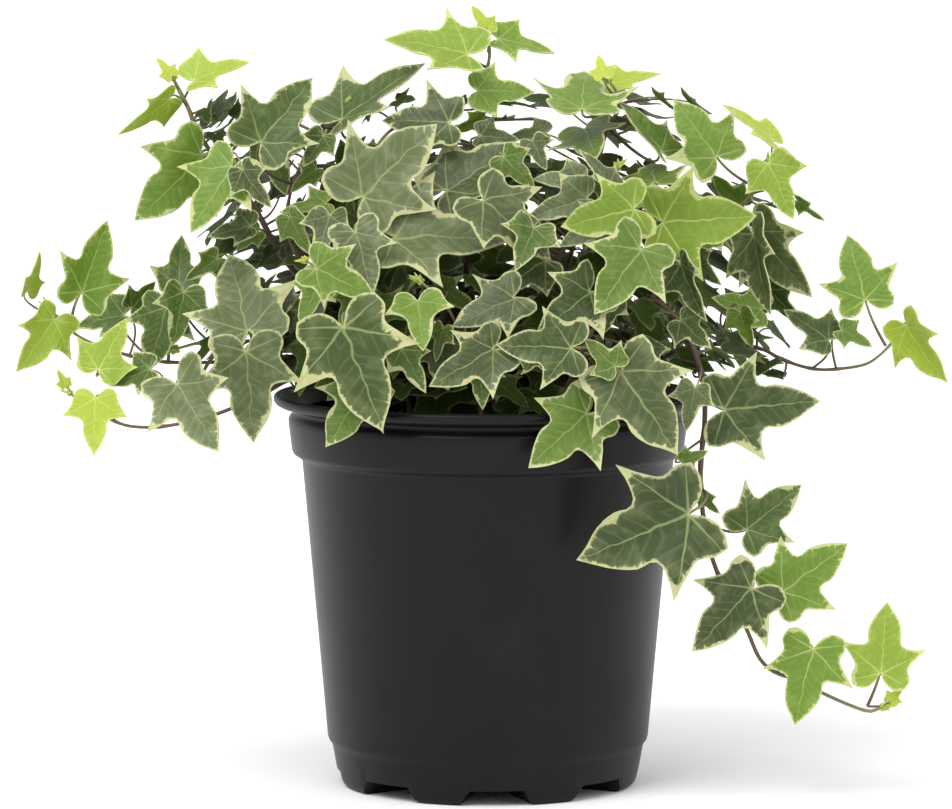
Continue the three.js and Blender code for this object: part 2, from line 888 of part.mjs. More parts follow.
function isClear(solid, ownStem = null) {
  const { min, max } = solid.boundingBox();
  const near = placed.filter(({ box, stemOf }) => {
    if (ownStem && stemOf === ownStem) return false;
    return [0, 1, 2].every((k) => box.min[k] < max[k] && box.max[k] > min[k]);
  });
  return near.every((other) => {
    const common = other.solid.intersect(solid);
    const empty = common.isEmpty();
    common.delete();
    return empty;
  });
}

// Fuses a leaf to its vine if its blade and a stalk to it can lie clear of all else.
function tryLeaf(vine, stem, leaf) {
  const roomy = bladeSolid(leaf, LEAF_CLEARANCE);
  if (!isClear(roomy)) return null;
  const gaps = stem.joints.map((p) => p.distanceTo(leaf.base));
  const nearest = gaps.indexOf(Math.min(...gaps));
  for (const back of [2, 1, 4, 0, 6, 9]) {
    const start = stem.joints[Math.max(LOWEST_JOINT, nearest - back)];
    for (const bow of [0.25, 0.05, 0.5]) {
      if (isClear(stalkSolid(leaf, start, bow, LEAF_CLEARANCE), vine.name)) {
        const blade = bladeSolid(leaf, 0);
        const stalk = stalkSolid(leaf, start, bow, 0);
        place(blade);
        place(stalk);
        return blade.add(stalk);
      }
    }
  }
  return null;
}

function sightedLeaf(row, slide, draw) {
  const [baseX, baseZ, tipX, tipZ, depth, lean, roll, age] = row;
  const base = sighted(baseX, depth + slide, baseZ);
  const tip = sighted(tipX, depth + slide + lean, tipZ);
  return leafPose(base, tip, roll, age, draw);
}

// A leaf set by rule: it looks outward and up, and its tip hangs.
function filledLeaf(vine, stem, index, attempt) {
  const [count, from, to, shortest, longest] = vine.fill;
  const draw = stream(7919 * index + 104729 * VINES.indexOf(vine) + 613 * attempt + 17);
  const along = from + ((to - from) * (index + draw())) / count;
  const start = stem.curve.getPoint(along);
  const outward = new THREE.Vector3(start.x, start.y, 0).normalize();
  const turn = radians(137.5 * index + 90 * draw());
  const side = outward.clone().applyAxisAngle(up, turn);
  const reach = 16 + 20 * draw();
  const base = start.clone();
  base.addScaledVector(side, reach * 0.75);
  base.addScaledVector(outward, reach * 0.35);
  base.z += reach * (0.1 + 0.6 * draw());
  const facing = outward.clone().multiplyScalar(0.5 + 0.5 * draw());
  facing.add(new THREE.Vector3(draw() - 0.5, draw() - 0.5, 0.35 + 0.7 * draw())).normalize();
  const tipward = new THREE.Vector3(draw() - 0.5, draw() - 0.5, -0.7).addScaledVector(side, 0.5);
  tipward.addScaledVector(facing, -facing.dot(tipward)).normalize();
  const length = (shortest + (longest - shortest) * draw()) * (1 - 0.35 * along * along);
  const across = tipward.clone().cross(facing);
  const age = Math.min(1, Math.max(0.15, 1.05 - 0.8 * along * along + 0.3 * (draw() - 0.5)));
  return { base, length, along: tipward, facing, across, age, ...leafBend(draw) };
}

// Leaves set by rule stay within the bush's own bulk, or hang behind the pot.
function inBulk(point) {
  const share = -EYE.y / (point.y - EYE.y);
  const seen = point.clone().sub(EYE).multiplyScalar(share).add(EYE);
  const bush = ((seen.x + 2) / 86) ** 2 + ((seen.z - 184) / 56) ** 2 < 1;
  const behind = Math.abs(seen.x) < 54 && seen.z > 20 && seen.z < 160 && point.y > 0;
  const clearOfPot = point.z > POT_HEIGHT + 6 || Math.hypot(point.x, point.y) > LIP_RADIUS + 4;
  return (bush || behind) && clearOfPot;
}

function growVine(vine, stem) {
  let solid = stem.solid;
  vine.leaves.forEach((row, i) => {
    for (const slide of SLIDES) {
      const draw = stream(7919 * i + 104729 * VINES.indexOf(vine) + 5);
      const grown = tryLeaf(vine, stem, sightedLeaf(row, slide, draw));
      if (grown) {
        solid = solid.add(grown);
        return;
      }
    }
  });
  return solid;
}

function fillVine(vine, stem, solid) {
  let full = solid;
  for (let i = 0; i < vine.fill[0]; i++) {
    for (let attempt = 0; attempt < 24; attempt++) {
      const leaf = filledLeaf(vine, stem, i, attempt);
      if (![0, 0.5, 1].every((v) => inBulk(leafPoint(leaf, 0, v)))) continue;
      const grown = tryLeaf(vine, stem, leaf);
      if (grown) {
        full = full.add(grown);
        break;
      }
    }
  }
  return full;
}

const stems = VINES.map(makeStem);
const pot = makePot();
const soil = makeSoil(stems);
place(pot);
place(soil);
stems.forEach((stem, i) => place(stem.solid, VINES[i].name));
const shown = VINES.map((vine, i) => growVine(vine, stems[i]));
const grown = VINES.map((vine, i) => fillVine(vine, stems[i], shown[i]));

const plant = new THREE.Group();
plant.add(meshFrom(pot, "pot", POT_FINISH));
plant.add(meshFrom(soil, "soil", SOIL_FINISH));
VINES.forEach((vine, i) => plant.add(meshFrom(grown[i], vine.name, VINE_FINISH)));

export default plant;
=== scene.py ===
import math

import bpy
import numpy as np
from mathutils import Matrix, Vector, kdtree


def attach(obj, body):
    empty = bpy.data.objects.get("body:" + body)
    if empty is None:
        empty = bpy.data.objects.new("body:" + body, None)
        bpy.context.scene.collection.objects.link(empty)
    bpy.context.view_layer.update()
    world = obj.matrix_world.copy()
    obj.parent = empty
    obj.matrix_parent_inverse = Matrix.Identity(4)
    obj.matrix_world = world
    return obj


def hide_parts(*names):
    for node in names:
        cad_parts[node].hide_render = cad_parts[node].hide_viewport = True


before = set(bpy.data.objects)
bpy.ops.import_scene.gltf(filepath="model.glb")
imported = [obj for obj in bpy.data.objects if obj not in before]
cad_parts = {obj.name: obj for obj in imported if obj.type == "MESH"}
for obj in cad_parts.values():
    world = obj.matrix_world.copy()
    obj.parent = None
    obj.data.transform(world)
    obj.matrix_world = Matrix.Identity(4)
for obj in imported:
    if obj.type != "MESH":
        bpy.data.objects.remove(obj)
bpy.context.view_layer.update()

bpy.ops.object.select_all(action="DESELECT")

# Pot
# A thin-walled grower's pot, injection-moulded in near-black polypropylene with a satin skin.
# Its lip is rolled out, a band below it stacks the pots, and the floor is folded up into eight
# channels that end in drain notches. The whole pot is one moulding.

MM = 0.001
POT_SIDES = 160
WALL = 1.2
LIP_RADIUS = 82.5
POT_HEIGHT = 151
FOOT_RADIUS = 55
POT_OUTSIDE = [
    (FOOT_RADIUS, 0), (56.6, 0.5), (57.6, 1.6), (58.1, 3.2), (60, 14), (60.5, 15.8), (61.6, 17.2), (62, 18.6),
    (71.5, 125.2), (72, 126.3), (73.4, 127.3), (74.9, 128.3), (75.5, 129.6), (76.7, 139.6), (76.8, 141.2),
    (76.3, 142.5), (75.3, 143.4), (75, 144.3), (75.6, 145.4), (77.2, 146.1), (80.4, 146.8), (81.7, 147.5),
    (82.4, 148.6), (LIP_RADIUS, 149.6), (82.2, 150.5), (81.4, POT_HEIGHT),
]
POT_INSIDE = [
    (80.2, POT_HEIGHT), (79.6, 150.4), (77.4, 147.6), (74.4, 145.6), (73.7, 144.2), (74.4, 142.2),
    (75.4, 140.2), (74.2, 130.4), (73, 129), (70.6, 127), (70.2, 125.6), (60.8, 18.6), (59, 14),
    (56.9, 3.4), (55, WALL),
]
NOTCHES = 8
NOTCH_HEIGHT = 6
NOTCH_ROOT_RADIUS = 22
NOTCH_MIDDLE_RADIUS = 40
NOTCH_OVERRUN = 12
NOTCH_FOOT_DEGREES = 14.8
NOTCH_ROOF_DEGREES = 10.4
NOTCH_TURN_DEGREES = 3.3
DRAIN_LENGTH = 9
DRAIN_WIDTH = 8
DRAIN_DEPTH = 20
DRAIN_RADIUS = 47
CUT_MARGIN = 0.01
EDGE_SOFTNESS = 0.35
SHARP_DEGREES = 38
SMOOTH_DEGREES = 32
PLASTIC = (0.0038, 0.0038, 0.0038, 1)
PLASTIC_WORN = (0.0075, 0.0075, 0.0075, 1)
PLASTIC_SHINE = 0.2
SCUFF_SCALE = 24
SHEEN_SCALE = 9
GRAIN_SCALE = 2600
GRAIN_DEPTH = 0.00003


def pick(*pieces):
    """Selects these pieces and nothing else, with the first one active."""
    bpy.ops.object.select_all(action="DESELECT")
    for piece in pieces:
        piece.select_set(True)
    bpy.context.view_layer.objects.active = pieces[0]


def edit(piece):
    pick(piece)
    bpy.ops.object.mode_set(mode="EDIT")
    bpy.ops.mesh.select_all(action="SELECT")


def finish_edit():
    bpy.ops.object.mode_set(mode="OBJECT")


def apply_modifier(piece, kind, **settings):
    pick(piece)
    modifier = piece.modifiers.new(kind.lower(), kind)
    for key, value in settings.items():
        setattr(modifier, key, value)
    bpy.ops.object.modifier_apply(modifier=modifier.name)


def turned(name, profile, sides):
    """A closed body of revolution from its half section, in millimetres, from axis to axis."""
    bpy.ops.mesh.primitive_circle_add(vertices=len(profile), radius=1)
    body = bpy.context.object
    body.name = name
    for vertex, (radius, height) in zip(body.data.vertices, profile):
        vertex.co = (radius * MM, 0, height * MM)
    edit(body)
    bpy.ops.mesh.spin(steps=sides, angle=2 * math.pi, center=(0, 0, 0), axis=(0, 0, 1))
    bpy.ops.mesh.select_all(action="SELECT")
    bpy.ops.mesh.remove_doubles(threshold=0.01 * MM)
    bpy.ops.mesh.normals_make_consistent(inside=False)
    finish_edit()
    return body


def wedge(name, angle, near, far, low, high, foot, roof):
    """A radial channel with sloping sides, in millimetres and degrees."""
    bpy.ops.mesh.primitive_cube_add(size=2)
    cutter = bpy.context.object
    cutter.name = name
    for vertex in cutter.data.vertices:
        x, y, z = vertex.co
        radius = far if x > 0 else near
        turn = math.radians(angle + (roof if z > 0 else foot) * (1 if y > 0 else -1))
        height = high if z > 0 else low
        vertex.co = (radius * MM * math.cos(turn), radius * MM * math.sin(turn), height * MM)
    return cutter


def cut(piece, cutter):
    apply_modifier(piece, "BOOLEAN", object=cutter, operation="DIFFERENCE", solver="EXACT")
    bpy.data.objects.remove(cutter)


notch_angles = [-90 + NOTCH_TURN_DEGREES + 360 / NOTCHES * i for i in range(NOTCHES)]


def notched(piece, margin):
    """Folds the floor up into radial channels, grown by a margin."""
    spread = math.degrees(margin / NOTCH_MIDDLE_RADIUS)
    for angle in notch_angles:
        channel = wedge(
            "channel", angle, NOTCH_ROOT_RADIUS - margin, FOOT_RADIUS + NOTCH_OVERRUN, -1,
            NOTCH_HEIGHT + margin, NOTCH_FOOT_DEGREES + spread, NOTCH_ROOF_DEGREES + spread,
        )
        cut(piece, channel)


mouth_radius = POT_INSIDE[0][0]
mouth_top = POT_HEIGHT + CUT_MARGIN
mouth_to_floor = [(0, mouth_top), (mouth_radius, mouth_top)] + POT_INSIDE[1:] + [(0, WALL)]
pot = turned("plant_pot", [(0, 0)] + POT_OUTSIDE + [(0, POT_HEIGHT)], POT_SIDES)
hollow = turned("hollow", mouth_to_floor, POT_SIDES)
notched(pot, 0)
notched(hollow, WALL)
cut(pot, hollow)
for angle in [math.radians(degrees) for degrees in notch_angles]:
    place = (DRAIN_RADIUS * MM * math.cos(angle), DRAIN_RADIUS * MM * math.sin(angle), NOTCH_HEIGHT * MM)
    bpy.ops.mesh.primitive_cube_add(size=1, location=place, rotation=(0, 0, angle))
    slot = bpy.context.object
    slot.scale = (DRAIN_LENGTH * MM, DRAIN_WIDTH * MM, DRAIN_DEPTH * MM)
    bpy.ops.object.transform_apply(location=True, rotation=True, scale=True)
    cut(pot, slot)
apply_modifier(
    pot, "BEVEL", width=EDGE_SOFTNESS * MM, segments=2, limit_method="ANGLE",
    angle_limit=math.radians(SHARP_DEGREES), use_clamp_overlap=True,
)
pick(pot)
bpy.ops.object.shade_smooth_by_angle(angle=math.radians(SMOOTH_DEGREES))


def new_material(name):
    """A new material, its node tree and its Principled surface."""
    material = bpy.data.materials.new(name)
    material.use_nodes = True
    tree = material.node_tree
    return material, tree, tree.nodes["Principled BSDF"]


def node(tree, kind, inputs=None, **settings):
    """Adds a node, sets it up, and links or sets its inputs."""
    made = tree.nodes.new(kind)
    for key, value in settings.items():
        setattr(made, key, value)
    for key, value in (inputs or {}).items():
        if isinstance(value, bpy.types.NodeSocket):
            tree.links.new(value, made.inputs[key])
        else:
            made.inputs[key].default_value = value
    return made


def math_node(tree, operation, first, second=0.0, third=0.0, clamp=False):
    made = node(tree, "ShaderNodeMath", {0: first, 1: second, 2: third}, operation=operation)
    made.use_clamp = clamp
    return made.outputs[0]


def mixed(tree, share, first, second):
    """First colour where the share is 0, second where it is 1."""
    made = tree.nodes.new("ShaderNodeMix")
    made.data_type = "RGBA"
    for socket, value in ((made.inputs[0], share), (made.inputs[6], first), (made.inputs[7], second)):
        if isinstance(value, bpy.types.NodeSocket):
            tree.links.new(value, socket)
        else:
            socket.default_value = value
    return made.outputs[2]


def stepped(tree, value, low, high, start=0.0, end=1.0):
    """Rises smoothly from start to end as the value goes from low to high."""
    inputs = {"Value": value, "From Min": low, "From Max": high, "To Min": start, "To Max": end}
    return node(tree, "ShaderNodeMapRange", inputs, interpolation_type="SMOOTHSTEP").outputs["Result"]


def noise(tree, place, scale, detail=2.0, roughness=0.5):
    inputs = {"Vector": place, "Scale": scale, "Detail": detail, "Roughness": roughness}
    return node(tree, "ShaderNodeTexNoise", inputs).outputs[0]


def bumped(tree, surface, height, distance, strength=1.0):
    bump = node(tree, "ShaderNodeBump", {"Height": height, "Distance": distance, "Strength": strength})
    tree.links.new(bump.outputs[0], surface.inputs["Normal"])


plastic, tree, surface = new_material("satin_black_polypropylene")
place = node(tree, "ShaderNodeTexCoord").outputs["Object"]
scuffs = stepped(tree, noise(tree, place, SCUFF_SCALE, 5, 0.62), 0.5, 0.78)
tree.links.new(mixed(tree, scuffs, PLASTIC, PLASTIC_WORN), surface.inputs["Base Color"])
sheen = stepped(tree, noise(tree, place, SHEEN_SCALE, 3), 0.3, 0.7, 0.36, 0.46)
tree.links.new(sheen, surface.inputs["Roughness"])
bumped(tree, surface, noise(tree, place, GRAIN_SCALE), GRAIN_DEPTH, 0.35)
surface.inputs["Specular IOR Level"].default_value = PLASTIC_SHINE
pot.data.materials.append(plastic)
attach(pot, "root")
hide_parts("pot")

# Peat
# Damp, dark reddish-brown peat compost fills the pot to 13 mm below its lip. It lies on the
# floor's channels and against the wall, and its loose top is lumps, crumbs and bits of fibre.

GAP = 0.3
PEAT_TOP = 138
PEAT_FLOOR = NOTCH_HEIGHT + WALL + GAP
PEAT_SIDE = [(56.4, PEAT_FLOOR), (60.3, 18.6), (69.7, 125.4), (72.4, 129.2), (73.7, 131), (74.9, PEAT_TOP)]
PEAT_SIDES = 120
PEAT_RINGS = 56
PEAT_SURFACE = 8
PEAT_LUMPS = [(14, 2.5), (5.5, 1.75), (2, 1)]
CRUMBS = 620
CRUMB_SIZES = (0.6, 2.3)
CRUMB_REACH = 0.975
FULL_TURN = 6.28
PEAT_DARK = (0.0085, 0.0045, 0.003, 1)
PEAT_WARM = (0.05, 0.024, 0.012, 1)
FIBRE_SCALE = 900
DAMP_SCALE = 90
CRUMBLE_SCALE = 1400
CRUMBLE_DEPTH = 0.0006
PEAT_SMOOTH_DEGREES = 50


def stream(seed):
    """A repeatable row of numbers from 0 to 1."""
    state = seed

    def draw():
        nonlocal state
        state = (state * 1664525 + 1013904223) % 4294967296
        return state / 4294967296

    draw()
    draw()
    return draw


edge_radius = PEAT_SIDE[-1][0]
top_rings = [(edge_radius * (1 - i / PEAT_RINGS), PEAT_TOP) for i in range(1, PEAT_RINGS + 1)]
peat = turned("peat", [(0, PEAT_FLOOR)] + PEAT_SIDE + top_rings, PEAT_SIDES)
top = peat.vertex_groups.new(name="top")
top.add([v.index for v in peat.data.vertices if v.co.z > (PEAT_TOP - 0.1) * MM], 1, "REPLACE")
for width, height in PEAT_LUMPS:
    lumps = bpy.data.textures.new("lumps", "CLOUDS")
    lumps.noise_scale = width * MM
    lumps.noise_depth = 2
    apply_modifier(
        peat, "DISPLACE", texture=lumps, texture_coords="LOCAL", strength=height * MM,
        mid_level=0.5, direction="Z", vertex_group="top",
    )
pick(peat)
bpy.ops.object.shade_smooth_by_angle(angle=math.radians(PEAT_SMOOTH_DEGREES))

ground = kdtree.KDTree(len(peat.data.vertices))
for vertex in peat.data.vertices:
    on_top = vertex.co.z > (PEAT_TOP - PEAT_SURFACE) * MM
    ground.insert((vertex.co.x, vertex.co.y, 0 if on_top else 1), vertex.index)
ground.balance()

bpy.ops.mesh.primitive_ico_sphere_add(subdivisions=1, radius=MM)
crumb = bpy.context.object
crumb.name = "peat_crumbs"
draw = stream(5)
for vertex in crumb.data.vertices:
    vertex.co *= 0.7 + 0.5 * draw()
crumbs = [crumb]
for i in range(1, CRUMBS):
    copy = crumb.copy()
    copy.data = crumb.data.copy()
    bpy.context.collection.objects.link(copy)
    crumbs.append(copy)
for copy in crumbs:
    radius = edge_radius * MM * CRUMB_REACH * math.sqrt(draw())
    angle = 2 * math.pi * draw()
    x, y = radius * math.cos(angle), radius * math.sin(angle)
    rest = peat.data.vertices[ground.find((x, y, 0))[1]].co.z
    size = CRUMB_SIZES[0] + (CRUMB_SIZES[1] - CRUMB_SIZES[0]) * draw() ** 3
    stretch = 1 + 2.2 * draw() ** 4
    copy.location = (x, y, rest + 0.2 * size * MM)
    copy.rotation_euler = (FULL_TURN * draw(), FULL_TURN * draw(), FULL_TURN * draw())
    copy.scale = (size * stretch, size, size * 0.8)
pick(*crumbs)
bpy.ops.object.transform_apply(location=True, rotation=True, scale=True)
bpy.ops.object.join()

compost, tree, surface = new_material("damp_peat")
place = node(tree, "ShaderNodeTexCoord").outputs["Object"]
fibres = stepped(tree, noise(tree, place, FIBRE_SCALE, 6, 0.7), 0.42, 0.66)
patches = stepped(tree, noise(tree, place, DAMP_SCALE, 3), 0.35, 0.7)
tone = math_node(tree, "MULTIPLY", fibres, math_node(tree, "ADD", patches, 0.25))
tree.links.new(mixed(tree, tone, PEAT_DARK, PEAT_WARM), surface.inputs["Base Color"])
tree.links.new(stepped(tree, fibres, 0, 1, 0.72, 0.95), surface.inputs["Roughness"])
bumped(tree, surface, noise(tree, place, CRUMBLE_SCALE, 5, 0.7), CRUMBLE_DEPTH, 0.8)
for piece in (peat, crumb):
    piece.data.materials.append(compost)
    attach(piece, "root")
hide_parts("soil")

# Vines
# Each vine is one shoot rooted in the peat: a thin stem that is woody and brown at its foot and
# soft at its tip, with a leaf on a wiry stalk at every joint. A leaf is a leathery blade with
# three to five lobes, grey-green with cream edges when old and yellow-green when young.

EYE = Vector((-4.6, -1950, 345.6))
BLADE_THICKNESS = 0.9
CURVE_STEPS = 200
STEM_STEP = 12.5
STEM_FOOT = (-18, -8, 4, 13)
LOWEST_JOINT = 9
STALK_RADIUS = 0.65
STALK_RINGS = 12
STALK_BACKS = (2, 1, 4, 0, 6, 9)
STALK_BOWS = (0.25, 0.05, 0.5)
SOLID_STALK_SEAT = 0.07
LOBED_LENGTH = 24
LEAF_SPREAD = 1.04
GOLDEN_DEGREES = 137.5
SLIDES = [0, -3, 3, -6, 6, -9, 9, -13, 13, -17, 17, -22, 22, -28, 28]
FILL_TRIES = 24
MATCH = 0.06
SHOWN_DRAW, FILLED_DRAW, SHADED_DRAW = 5, 17, 29

